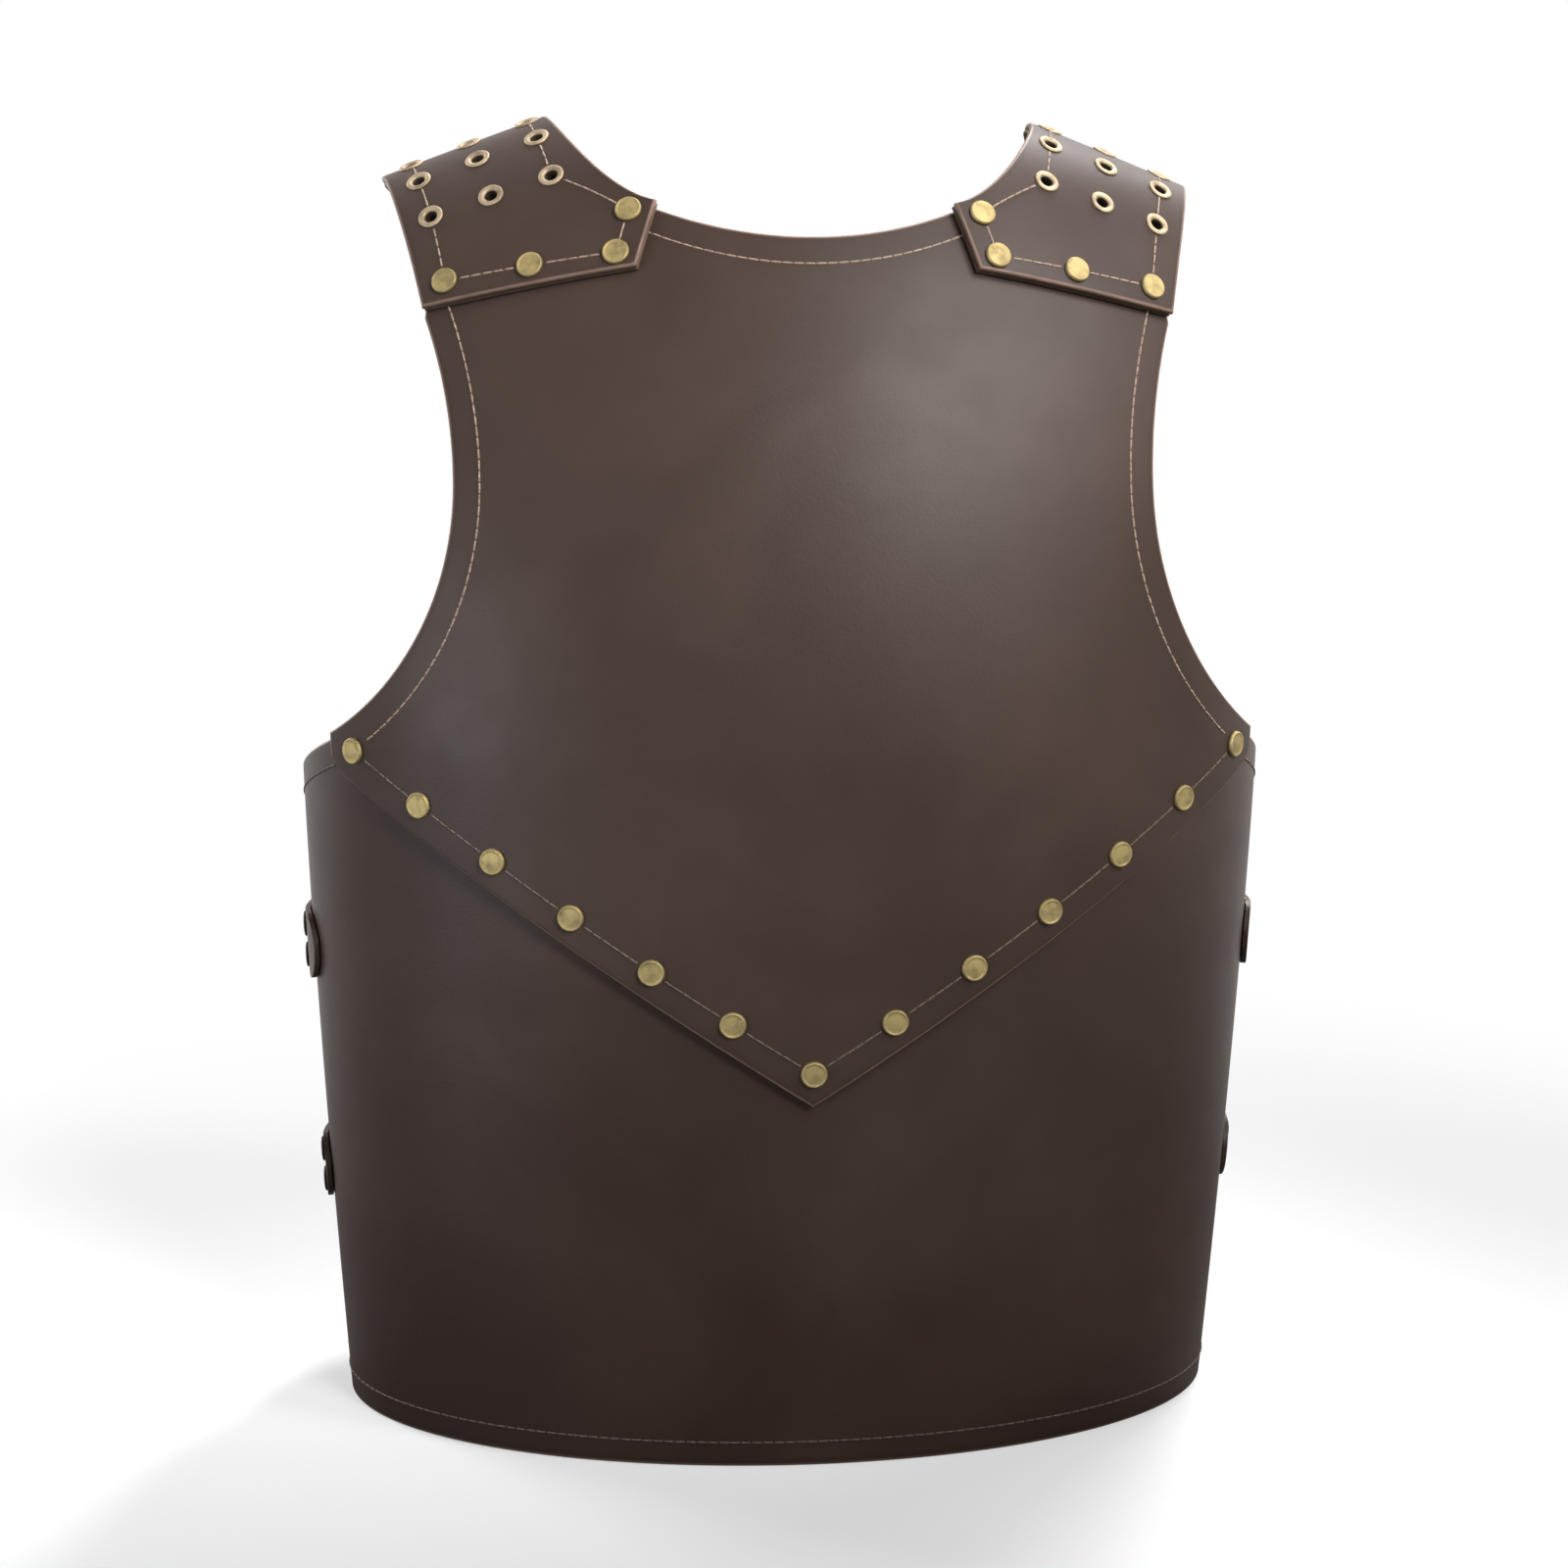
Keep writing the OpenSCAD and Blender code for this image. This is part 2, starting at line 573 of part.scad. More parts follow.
// The outline of the body at the strap's height: a place at angle a, n off the surface
function ring(level, a, n) =
    let (z = strap_z(level),
         w = body_half_w(z),
         d = a < 90 ? front_d(z) : back_d(z),
         m = unit([d * sin(a), -w * cos(a)]))
    [w * sin(a) - w, -d * cos(a)] + n * m;
function ring_turn(level, a) =
    let (z = strap_z(level), d = a < 90 ? front_d(z) : back_d(z))
    atan2(-body_half_w(z) * cos(a), d * sin(a));
function ring_step(level, a) = norm(ring(level, a + 0.5, 0) - ring(level, a - 0.5, 0));
// The angle that lies a distance d behind angle a
function ring_after(level, a, d, n = 4) =
    n == 0 ? a
    : let (part = d / n, mid = a + part / ring_step(level, a) / 2)
      ring_after(level, a + part / ring_step(level, mid), d - part, n - 1);
function heel_a(level) = ring_after(level, toe_a, buckle_l);
function behind_heel(level, d) = ring_after(level, heel_a(level), d);

module strap_frame(side, level) {
    side_of(side)
        translate([body_half_w(strap_z(level)), 0, strap_z(level)])
            rotate([0, side_lean(level), 0])
                children();
}
// Stands a child on the ring at angle a, its z axis outwards and its x axis to the back
module on_ring(level, a, n = 0) {
    p = ring(level, a, n);
    translate([p.x, p.y, 0])
        rotate([0, 0, ring_turn(level, a) + 90])
            rotate([90, 0, 0])
                children();
}
module on_rivet_pair(level, a) {
    for (s = [-1, 1])
        on_ring(level, a) translate([0, s * rivet_pair_z, 0]) children();
}

function ease(s) = let (c = max(0, min(1, s))) c * c * (3 - 2 * c);

// The inner face of the billet: flat on the plates, up over the chape's eye, down to the chape
function billet_n(level, a) =
    let (up_0 = toe_a - 1, up_1 = heel_a(level) - 1.2,
         down_0 = heel_a(level) + 1.4, down_1 = behind_heel(level, keeper_d - keeper_w / 2 - 3.5))
    a < (up_1 + down_0) / 2
    ? lerp(billet_low, billet_over_eye, ease((a - up_0) / (up_1 - up_0)))
    : lerp(billet_over_eye, billet_high, ease((a - down_0) / (down_1 - down_0)));
function billet_angles(level) =
    let (a_0 = start_a(level), a_1 = behind_heel(level, billet_end_d), n = 46)
    [for (i = [0:n]) lerp(a_0, a_1, i / n)];

// Cuts the end of a strap round, on the side of angle a that dir points to.
// The radius is a little over half the width, so that the round meets the sides at an angle.
module round_end(level, a, dir) {
    on_ring(level, a) difference() {
        translate([dir > 0 ? 0 : -strap_w, -strap_w, -20]) cube([strap_w, 2 * strap_w, 40]);
        translate([0, 0, -21]) cylinder(r = strap_w / 2 + 0.3, h = 42, $fn = 64);
    }
}

// The angle at which the prong stands in the billet
function prong_hole_a(level) = ring_after(level, toe_a, buckle_l / 2);

module billet(side, level) {
    angles = billet_angles(level);
    last = len(angles) - 1;
    low = [for (a = angles) ring(level, a, billet_n(level, a))];
    high = [for (i = [last:-1:0]) ring(level, angles[i], billet_n(level, angles[i]) + billet_t)];
    d_end = strap_w / 2;
    color(dark_leather) strap_frame(side, level) difference() {
        translate([0, 0, -strap_w / 2]) linear_extrude(strap_w) polygon(concat(low, high));
        round_end(level, ring_after(level, start_a(level), d_end), -1);
        round_end(level, behind_heel(level, billet_end_d - d_end), 1);
        on_rivet_pair(level, billet_rivet_a) post_hole(-1, 5);
        for (k = [-1, 1, 2, 3])
            on_ring(level, ring_after(level, prong_hole_a(level), k * punch_pitch))
                cylinder(r = punch_r, h = 14, $fn = rivet_fn);
        on_ring(level, prong_hole_a(level)) prong_slot();
    }
}
module prong_slot() {
    r = prong_r + 0.5;
    reach = prong_slot_l / 2 - r;
    for (s = [-1, 1]) translate([s * reach, 0, 0]) cylinder(r = r, h = 14, $fn = rivet_fn);
    translate([-reach, -r, 0]) cube([2 * reach, 2 * r, 14]);
}

// The chape: leather folded round the heel bar, its two plies riveted to the back plate
module chape(side, level) {
    a_0 = heel_a(level);
    a_1 = behind_heel(level, chape_end_d);
    drop_0 = behind_heel(level, keeper_d + keeper_w / 2 + 3);
    drop_1 = behind_heel(level, chape_rivet_d - 4);
    n = 20;
    function low_n(a) = lerp(chape_seat, seat_gap, ease((a - drop_0) / (drop_1 - drop_0)));
    angles = [for (i = [0:n]) lerp(a_0, a_1, i / n)];
    low = [for (a = angles) ring(level, a, low_n(a))];
    high = [for (i = [n:-1:0]) ring(level, angles[i], low_n(angles[i]) + chape_h)];
    heel = ring(level, a_0, heel_n);
    slot_w = prong_eye_w + 0.8;
    color(dark_leather) strap_frame(side, level) difference() {
        union() {
            translate([0, 0, -strap_w / 2]) linear_extrude(strap_w) polygon(concat(low, high));
            translate([heel.x, heel.y, -strap_w / 2]) cylinder(r = eye_r, h = strap_w, $fn = 48);
        }
        translate([heel.x, heel.y, -strap_w]) cylinder(r = wire_r + pivot_gap, h = 2 * strap_w, $fn = wire_fn);
        on_ring(level, a_0) translate([-6, -slot_w / 2, -1]) cube([12.5, slot_w, 14]);
        on_rivet_pair(level, behind_heel(level, chape_rivet_d)) post_hole(-1, 8);
        round_end(level, behind_heel(level, chape_end_d - strap_w / 2), 1);
    }
}

prong_eye_w = 3.2;

// Stands a child with its origin on the heel bar and its x axis along the frame to the toe bar
module buckle_frame_space(side, level) {
    heel = ring(level, heel_a(level), heel_n);
    toe = ring(level, toe_a, toe_n);
    v = toe - heel;
    strap_frame(side, level) translate([heel.x, heel.y, 0]) rotate([0, 0, atan2(v.y, v.x)]) children();
}
function frame_l(level) = norm(ring(level, toe_a, toe_n) - ring(level, heel_a(level), heel_n));

// A rectangle of round wire with rounded corners: heel bar on the origin, toe bar at x = l
module buckle_frame(side, level) {
    l = frame_l(level);
    r = 2.2;
    w = buckle_half_w;
    color(brass) buckle_frame_space(side, level) {
        translate([0, 0, -w]) cylinder(r = wire_r, h = 2 * w, $fn = wire_fn);
        translate([l, 0, -w + r]) cylinder(r = wire_r, h = 2 * (w - r), $fn = wire_fn);
        for (s = [-1, 1]) {
            translate([0, 0, s * w]) {
                rotate([0, 90, 0]) cylinder(r = wire_r, h = l - r, $fn = wire_fn);
                sphere(r = wire_r, $fn = wire_fn);
            }
            translate([l - r, 0, s * (w - r)]) rotate([90, 0, 0]) rotate([0, 0, s > 0 ? 0 : -90])
                rotate_extrude(angle = 90, $fn = 48) translate([r, 0]) circle(r = wire_r, $fn = wire_fn);
        }
    }
}

// The prong: an eye on the heel bar and an arm that rests on the toe bar
module buckle_prong(side, level) {
    heel = ring(level, heel_a(level), heel_n);
    tip = ring(level, toe_a, prong_tip_n);
    v = tip - heel;
    reach = norm(v) + wire_r + 0.8;
    eye_out = wire_r + pivot_gap + prong_eye_wall;
    color(brass) strap_frame(side, level)
        translate([heel.x, heel.y, 0]) rotate([0, 0, atan2(v.y, v.x)]) difference() {
            union() {
                translate([0, 0, -prong_eye_w / 2]) cylinder(r = eye_out, h = prong_eye_w, $fn = 48);
                rotate([0, 90, 0]) cylinder(r = prong_r, h = reach, $fn = wire_fn);
                translate([reach, 0, 0]) sphere(r = prong_r, $fn = wire_fn);
            }
            translate([0, 0, -strap_w]) cylinder(r = wire_r + pivot_gap, h = 2 * strap_w, $fn = wire_fn);
        }
}

// The keeper: a loop of thin leather round the chape and the billet
module keeper(side, level) {
    n_0 = chape_seat - keeper_gap;
    n_1 = billet_high + billet_t + keeper_gap;
    a_0 = behind_heel(level, keeper_d - keeper_w / 2);
    a_1 = behind_heel(level, keeper_d + keeper_w / 2);
    half = strap_w / 2 + keeper_gap;
    n = 4;
    angles = [for (i = [0:n]) lerp(a_0, a_1, i / n)];
    function band(low, high) = concat([for (a = angles) ring(level, a, low)],
                                      [for (i = [n:-1:0]) ring(level, angles[i], high)]);
    color(dark_leather) strap_frame(side, level) difference() {
        translate([0, 0, -half - keeper_t]) linear_extrude(2 * (half + keeper_t))
            polygon(band(n_0 - keeper_t, n_1 + keeper_t));
        intersection() {
            translate([0, 0, -half]) linear_extrude(2 * half)
                polygon(concat([ring(level, a_0 - 1, n_0)], [for (a = angles) ring(level, a, n_0)],
                               [ring(level, a_1 + 1, n_0)], [ring(level, a_1 + 1, n_1)],
                               [for (i = [n:-1:0]) ring(level, angles[i], n_1)],
                               [ring(level, a_0 - 1, n_1)]));
        }
    }
}

// Fasteners of the straps

module billet_rivets(side, level) {
    color(dark_brass) strap_frame(side, level)
        on_rivet_pair(level, billet_rivet_a)
            rivet(billet_low + billet_t + cap_gap, tail_z(burr_drop), strap_cap_h);
}
module chape_rivets(side, level) {
    color(dark_brass) strap_frame(side, level)
        on_rivet_pair(level, behind_heel(level, chape_rivet_d))
            rivet(seat_gap + chape_h + cap_gap, tail_z(burr_drop), strap_cap_h);
}
module strap_burrs() {
    for (side = [LEFT, RIGHT], level = [UPPER, LOWER])
        color(brass) strap_frame(side, level) {
            on_rivet_pair(level, billet_rivet_a) burr(burr_drop);
            on_rivet_pair(level, behind_heel(level, chape_rivet_d)) burr(burr_drop);
        }
}

// Body plates

module chest_plate() {
    cells = [for (i = [0:chest_rows]) [for (j = [-half_cols:half_cols]) chest_cell(i, j)]];
    color(leather) difference() {
        plate(cells, chest_out, chest_in);
        on_v_row() post_hole(-2, chest_out + 2);
        for (side = [LEFT, RIGHT]) side_of(side)
            for (c = front_rivets) on_arch(c) post_hole(-plate_t - 2, 3);
    }
}
module belly_plate() {
    cells = [for (i = [0:belly_rows]) [for (j = [-belly_cols:belly_cols])
        let (a = front_end_a * j / belly_cols) [a, belly_top_z(a) * i / belly_rows]]];
    color(leather) difference() {
        plate(cells, 0, -plate_t);
        on_v_row() post_hole(-plate_t - 2, 2);
        for (side = [LEFT, RIGHT], level = [UPPER, LOWER])
            strap_frame(side, level) on_rivet_pair(level, billet_rivet_a) post_hole(-plate_t - 2, 2);
    }
}
module back_plate() {
    cells = [for (i = [0:back_rows]) [for (j = [-half_cols:half_cols]) back_cell(i, j)]];
    color(leather) difference() {
        plate(cells, 0, -plate_t, true);
        for (side = [LEFT, RIGHT]) side_of(side)
            for (c = back_rivets) on_arch(c) post_hole(-plate_t - 2, 3);
        for (side = [LEFT, RIGHT], level = [UPPER, LOWER])
            strap_frame(side, level)
                on_rivet_pair(level, behind_heel(level, chape_rivet_d)) post_hole(-plate_t - 2, 2);
    }
}
module v_rivets() {
    color(brass) on_v_row() rivet(chest_out + cap_gap, tail_z(burr_drop));
}
module v_rivet_burrs() {
    color(brass) on_v_row() burr(burr_drop);
}

// Shoulder parts

module shoulder_piece(side) {
    color(leather) shoulder_leather(side, top_out, top_in);
}
module shoulder_lining(side) {
    color(lining_leather) shoulder_leather(side, lining_out, lining_in);
}
module shoulder_rivets(side) {
    color(brass) side_of(side) on_shoulder_rivets()
        rivet(top_out + cap_gap, tail_z(shoulder_burr_drop));
}
module shoulder_burrs(side) {
    color(brass) side_of(side) on_shoulder_rivets() burr(shoulder_burr_drop);
}
module eyelets(side) {
    color(brass) side_of(side)
        for (c = eyelet_places) on_arch(c) eyelet(lining_in - eyelet_drop, top_out + cap_gap);
}

chest_plate();
belly_plate();
back_plate();
v_rivets();
v_rivet_burrs();
shoulder_piece(LEFT);  // shoulder_piece_left
shoulder_piece(RIGHT);  // shoulder_piece_right
shoulder_lining(LEFT);  // shoulder_lining_left
shoulder_lining(RIGHT);  // shoulder_lining_right
shoulder_rivets(LEFT);  // shoulder_rivets_left
shoulder_rivets(RIGHT);  // shoulder_rivets_right
shoulder_burrs(LEFT);  // shoulder_burrs_left
shoulder_burrs(RIGHT);  // shoulder_burrs_right
eyelets(LEFT);  // eyelets_left
eyelets(RIGHT);  // eyelets_right
billet(LEFT, UPPER);  // billet_left_upper
billet(LEFT, LOWER);  // billet_left_lower
billet(RIGHT, UPPER);  // billet_right_upper
billet(RIGHT, LOWER);  // billet_right_lower
billet_rivets(LEFT, UPPER);  // billet_rivets_left_upper
billet_rivets(LEFT, LOWER);  // billet_rivets_left_lower
billet_rivets(RIGHT, UPPER);  // billet_rivets_right_upper
billet_rivets(RIGHT, LOWER);  // billet_rivets_right_lower
chape(LEFT, UPPER);  // chape_left_upper
chape(LEFT, LOWER);  // chape_left_lower
chape(RIGHT, UPPER);  // chape_right_upper
chape(RIGHT, LOWER);  // chape_right_lower
chape_rivets(LEFT, UPPER);  // chape_rivets_left_upper
chape_rivets(LEFT, LOWER);  // chape_rivets_left_lower
chape_rivets(RIGHT, UPPER);  // chape_rivets_right_upper
chape_rivets(RIGHT, LOWER);  // chape_rivets_right_lower
buckle_frame(LEFT, UPPER);  // buckle_frame_left_upper
buckle_frame(LEFT, LOWER);  // buckle_frame_left_lower
buckle_frame(RIGHT, UPPER);  // buckle_frame_right_upper
buckle_frame(RIGHT, LOWER);  // buckle_frame_right_lower
buckle_prong(LEFT, UPPER);  // buckle_prong_left_upper
buckle_prong(LEFT, LOWER);  // buckle_prong_left_lower
buckle_prong(RIGHT, UPPER);  // buckle_prong_right_upper
buckle_prong(RIGHT, LOWER);  // buckle_prong_right_lower
keeper(LEFT, UPPER);  // keeper_left_upper
keeper(LEFT, LOWER);  // keeper_left_lower
keeper(RIGHT, UPPER);  // keeper_right_upper
keeper(RIGHT, LOWER);  // keeper_right_lower
strap_burrs();
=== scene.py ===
"""The looks of the leather breastplate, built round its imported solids.

Every leather sheet is rebuilt as a fine surface from the same formulas as its solid, with rounded
edges. Rivets and eyelets are turned from outlines, and stitches are laid along the edges. The straps
and buckles keep their solids and only get materials.

Lengths are in millimetres until a mesh is made, and angles are in degrees. Materials, lights and the
camera are in metres. Angle a goes round the body: 0 in front, 90 at the wearer's left, 180 behind.
Angle f goes over a shoulder: 0 in front, 90 at the crest, 180 behind.
"""

import math

import bpy
import numpy as np
from mathutils import Matrix, Vector


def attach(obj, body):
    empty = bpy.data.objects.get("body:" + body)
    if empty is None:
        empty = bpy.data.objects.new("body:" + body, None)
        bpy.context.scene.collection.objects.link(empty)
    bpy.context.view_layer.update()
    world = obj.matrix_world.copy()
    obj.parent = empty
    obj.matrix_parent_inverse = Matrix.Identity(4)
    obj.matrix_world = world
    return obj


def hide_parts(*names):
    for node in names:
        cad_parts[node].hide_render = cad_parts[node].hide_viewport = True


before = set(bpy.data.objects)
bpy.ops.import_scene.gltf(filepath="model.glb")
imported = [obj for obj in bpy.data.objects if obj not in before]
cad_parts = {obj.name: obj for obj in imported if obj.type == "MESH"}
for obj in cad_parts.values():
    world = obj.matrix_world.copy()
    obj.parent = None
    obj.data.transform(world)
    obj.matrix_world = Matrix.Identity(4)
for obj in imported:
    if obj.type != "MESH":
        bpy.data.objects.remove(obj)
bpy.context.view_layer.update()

MM = 0.001
ROOT = "cuirass"
SIDES = {"left": 1, "right": -1}

# Body surface: half widths and depths at the hem and at the chest line, and how it swells between them
HEM_W, CHEST_W = 168.5, 183.0
HEM_FRONT, CHEST_FRONT = 98.0, 111.0
HEM_BACK, CHEST_BACK = 101.0, 115.0
CHEST_Z, SWELL = 262.0, 1.35
# The shoulder line above it, how far back it stands, and how full the chest is below it
SHOULDER_Z, SHOULDER_FALL, SHOULDER_ROUND = 518.5, 0.40, 40.0
SET_BACK, FULLNESS = 4.0, 1.7

# Leathers: heights of their faces over the body surface, or over a shoulder piece's seat
PLATE_T = 3.5
CHEST_LOW = 0.6
CHEST_HIGH = CHEST_LOW + PLATE_T
LINING_LOW, LINING_HIGH = 0.3, 1.7
TOP_LOW, TOP_HIGH = 1.9, 4.3
# The seat sinks from the chest plate to the back plate, from this angle f and over this span
SEAT_FROM, SEAT_SPAN = 64.0, 52.0
# Radius of the rounded edges
EDGE_R, SHOULDER_EDGE_R, LINING_EDGE_R = 1.0, 0.8, 0.4

# The V edge of the chest plate, and the cut of its lower corners
V_TIP, V_RISE, V_CURL = 138.6, 0.635, 0.00032
CUT_X, CUT, CUT_SLOPE, CUT_STEP = 0.8855 * CHEST_W, 4.6, 1.4, 0.3
# Neck edges, and the corner where they meet the shoulder pieces
NECK_Z, NECK_R, NECK_X, NECK_A = 440.0, 152.0, 51.1, 57.1
BACK_NECK_Z, BACK_EXTRA = 436.0, 12.5
# Armhole edges: the narrowest place, the radii below and above it, and the highest visible place
ARM_W, ARM_Z, ARM_TOP_Z = 123.0, 355.0, 411.0
ARM_LOW_R, ARM_BACK_R, ARM_HIGH_R = 115.0, 175.0, 170.0
# Tabs of the plates under the shoulder pieces
TAB_STEP, TAB_X, TAB_Z = (5.0, 1.3), 130.0, 432.0
# Side ends of the belly plate and of the back plate, each counted from its own middle
FRONT_A, BACK_A = 96.0, 76.0
# Top edge of the belly plate
BELLY_OVER, WING_DROP, WING_A, WING_FALL = 26.0, 2.5, 63.0, 0.77

# Shoulder pieces: corners at the front end, edges at the crest, and the shape of both long edges
INNER_X, INNER_A, OUTER_A = 58.6, 49.6, 51.5
CREST_IN, CREST_OUT, LEAN, LEAN_POWER = 88.0, 148.0, 33.6, 1.5
NECK_STRAIGHT = 0.2
EXTRA_RISE, EXTRA_POWER = 3, 1.5

# Shares of the half width at which a plate's top edge reaches the neck corner and the tab
NECK_SHARE, TAB_SHARE = 6 / 16, 7 / 16
# Distances of the close grid lines that carry a rounded edge
NEAR_LINES = (0, 0.08, 0.25, 0.5, 0.8, 1.2)
# Grid lines of each stretch of the plates
NECK_COLUMNS, TAB_COLUMNS, OUTER_COLUMNS = 34, 6, 46
CUT_ROWS, CHEST_ARM_ROWS, BACK_SIDE_ROWS, BACK_ARM_ROWS, TAB_ROWS = 8, 90, 80, 80, 14
BELLY_COLUMNS, BELLY_ROWS = 181, 90
# Rough lengths of the stretches that end in a rounded edge
CHEST_OUTER_L, BACK_OUTER_L, CUT_L, BACK_SIDE_L, TAB_L, BELLY_L, BELLY_H = 95, 120, 20, 230, 21, 470, 260
# Grid lines of a shoulder piece: rows are counted in steps, from its end to the crest
CREST_STEP = 11
CORNER_ROWS, SHOULDER_ROWS, SHOULDER_COLUMNS = 10, 60, 84
CORNER_L, SHOULDER_W = 10, 80

# Distance of rivets and stitches from the edges
INSET = 9.5
# Rivets of the V: distance from the edge, number on each side of the tip, and inset of the last one
V_INSET, V_SIDE, V_END_INSET = 12.4, 6, 4.0
# Front rivets of a shoulder piece: insets of the outer one and of the corner one from the front end,
# and how many degrees below the neck corner the last one stands
END_INSET, CORNER_INSET, NECK_RIVET_DOWN = 0.75 * INSET, 0.7 * INSET, 0.5

# Rivets: cap, post, and how far the posts reach in
CAP_R, CAP_H, POST_R = 4.8, 1.4, 1.5
V_TAIL, SHOULDER_TAIL = -5.2, -5.4
V_SEAT, SHOULDER_SEAT = CHEST_HIGH + 0.05, TOP_HIGH + 0.1
# A cap's outline, from its seat to near its middle, as shares of its radius and height
CAP_OUTLINE = ((0.96, 0), (1, 0.12), (1, 0.45), (0.975, 0.68), (0.93, 1), (0.87, 1.08), (0.80, 0.90),
               (0.74, 0.86), (0.55, 0.93), (0.3, 0.98))

# Eyelets: hole, barrel and flange radii, and the size of the inner flange
EYELET_HOLE_R, EYELET_BARREL_R, EYELET_R = 2.3, 2.8, 4.7
EYELET_BACK_R, EYELET_BACK_T = 4.0, 0.5
# The rolled rim: its height over a low lip, the share of the flange's width at which it is highest, and
# how deep the funnel mouth goes
EYELET_H, EYELET_LIP, EYELET_PEAK, EYELET_MOUTH = 0.68, 0.1, 0.62, 0.5
# Their columns and rows, the angle f where the rows' spacing is measured, and their further inset
EYELET_COL, EYELET_ROW, EYELET_ROWS, EYELET_COLS = 21.0, 17.0, 6, 3
EYELET_SPACING_F, EYELET_FURTHER_IN = 78, 1
# Radius of the holes that are left out of the leather's grid
HOLE_R = 3.25
# Height of the eyelets' inner flange, and height below which their barrels get painted shade
INNER_FLANGE, EYELET_SHADE_Z = LINING_LOW - 0.8, TOP_HIGH + 0.55

# Stitches
THREAD_R, STITCH_PITCH, STITCH_L = 0.36, 4.0, 3.95
STITCH_RINGS, STITCH_SIDES = 9, 8
# Height of a stitch over the leather at its ends and how far it rises between, in thread radii
STITCH_LOW, STITCH_RISE = 0.12, 0.15
# Distance of a stitch line from a rivet's or an eyelet's centre, and its share of each V rivet gap
FASTENER_CLEAR, V_GAP = 5.3, (0.16, 0.84)
# Distance in degrees of the side stitch lines from the edges, and start of the line along the wings
SIDE_INSET_A, WING_LINE_A = 4.5, 67.0
WING_INSET = 1.07 * INSET
# Ends of the stitch lines at the armholes and at the necks, hidden below the shoulder pieces
ARM_LINE_TOP, CHEST_LINE_RISE, BACK_LINE_LOW = 416, 6, 215
NECK_LINE_X, BACK_NECK_LINE_X = 57, 70
# Points along each line before the stitches are spaced
HEM_POINTS, SIDE_POINTS, NECK_POINTS, WING_POINTS, SPAN_POINTS = 900, 400, 300, 200, 60
V_POINTS = 3001

# Straps: width and heights of their middle lines
STRAP_W = 25.0
STRAP_Z = (178.0, 89.0)


def lerp(a, b, t):
    """Between a and b at share t."""
    return a + (b - a) * t


def ease(t):
    """Smooth step: 3 t^2 - 2 t^3."""
    c = np.clip(t, 0, 1)
    return c * c * (3 - 2 * c)


def sind(a):
    """Sine of an angle in degrees."""
    return np.sin(np.radians(a))


def cosd(a):
    """Cosine of an angle in degrees."""
    return np.cos(np.radians(a))


def hump(z):
    """The body's swell, from 0 at the hem to 1 at the chest line: 1 - (1 - z / 262)^1.35."""
    return 1 - (1 - np.clip(z / CHEST_Z, 0, 1)) ** SWELL


def half_w(z):
    """Half width of the body at a height: the hem's, growing to the chest's with the swell."""
    return lerp(HEM_W, CHEST_W, hump(z))


def body_depth(a, z):
    """Depth to the front or the back, whichever angle a faces: the hem's, growing with the swell."""
    front = lerp(HEM_FRONT, CHEST_FRONT, hump(z))
    back = lerp(HEM_BACK, CHEST_BACK, hump(z))
    return np.where(cosd(a) > 0, front, back)


def crest_z(x):
    """Height of the shoulder line: s - k sqrt(x^2 + r^2)."""
    return SHOULDER_Z - SHOULDER_FALL * np.sqrt(x * x + SHOULDER_ROUND**2)


def skin(a, z):
    """Body surface: x = w(z) sin a, y = 4 q^2 - d(z) cos a sqrt(1 - q^n), q the rise to the shoulders."""
    x = half_w(z) * sind(a)
    crest = crest_z(x)
    q = np.clip((z - CHEST_Z) / (crest - CHEST_Z), 0, 0.9999)
    y = SET_BACK * q * q - body_depth(a, z) * cosd(a) * np.sqrt(1 - q**FULLNESS)
    return np.stack([x, y, z + 0 * x], -1)


def arch(x, f):
    """Shoulder arch: z = 262 + h(x) q, y = 4 q^2 - d(x) cos f, with q = sin(f)^(2 / n).

    h is the shoulder line's height over the chest line, and d(x) the chest's depth there.
    """
    q = sind(f) ** (2 / FULLNESS)
    depth = np.where(f < 90, CHEST_FRONT, CHEST_BACK) * np.sqrt(1 - (x / CHEST_W) ** 2)
    z = CHEST_Z + (crest_z(x) - CHEST_Z) * q
    return np.stack([x + 0 * f, SET_BACK * q * q - depth * cosd(f), z], -1)


def seat_of(f):
    """Height of a shoulder piece's seat: on the chest plate in front, on the back plate behind."""
    return CHEST_HIGH * (1 - ease((f - SEAT_FROM) / SEAT_SPAN))


def normals(surface, u, v, step=0.3):
    """Unit normals of a surface from its differences: dS/du x dS/dv."""
    along_u = surface(u + step, v) - surface(u - step, v)
    along_v = surface(u, v + step) - surface(u, v - step)
    n = np.cross(along_u, along_v)
    return n / np.linalg.norm(n, axis=-1, keepdims=True)


def angle_of(x, z):
    """The angle a at which the front half of the body surface has this x at this height."""
    return np.degrees(np.arcsin(np.clip(x / half_w(z), -1, 1)))


def run_along(points):
    """Distance from the first point to each point of a path."""
    return np.concatenate([[0], np.cumsum(np.linalg.norm(np.diff(points, axis=0), axis=1))])


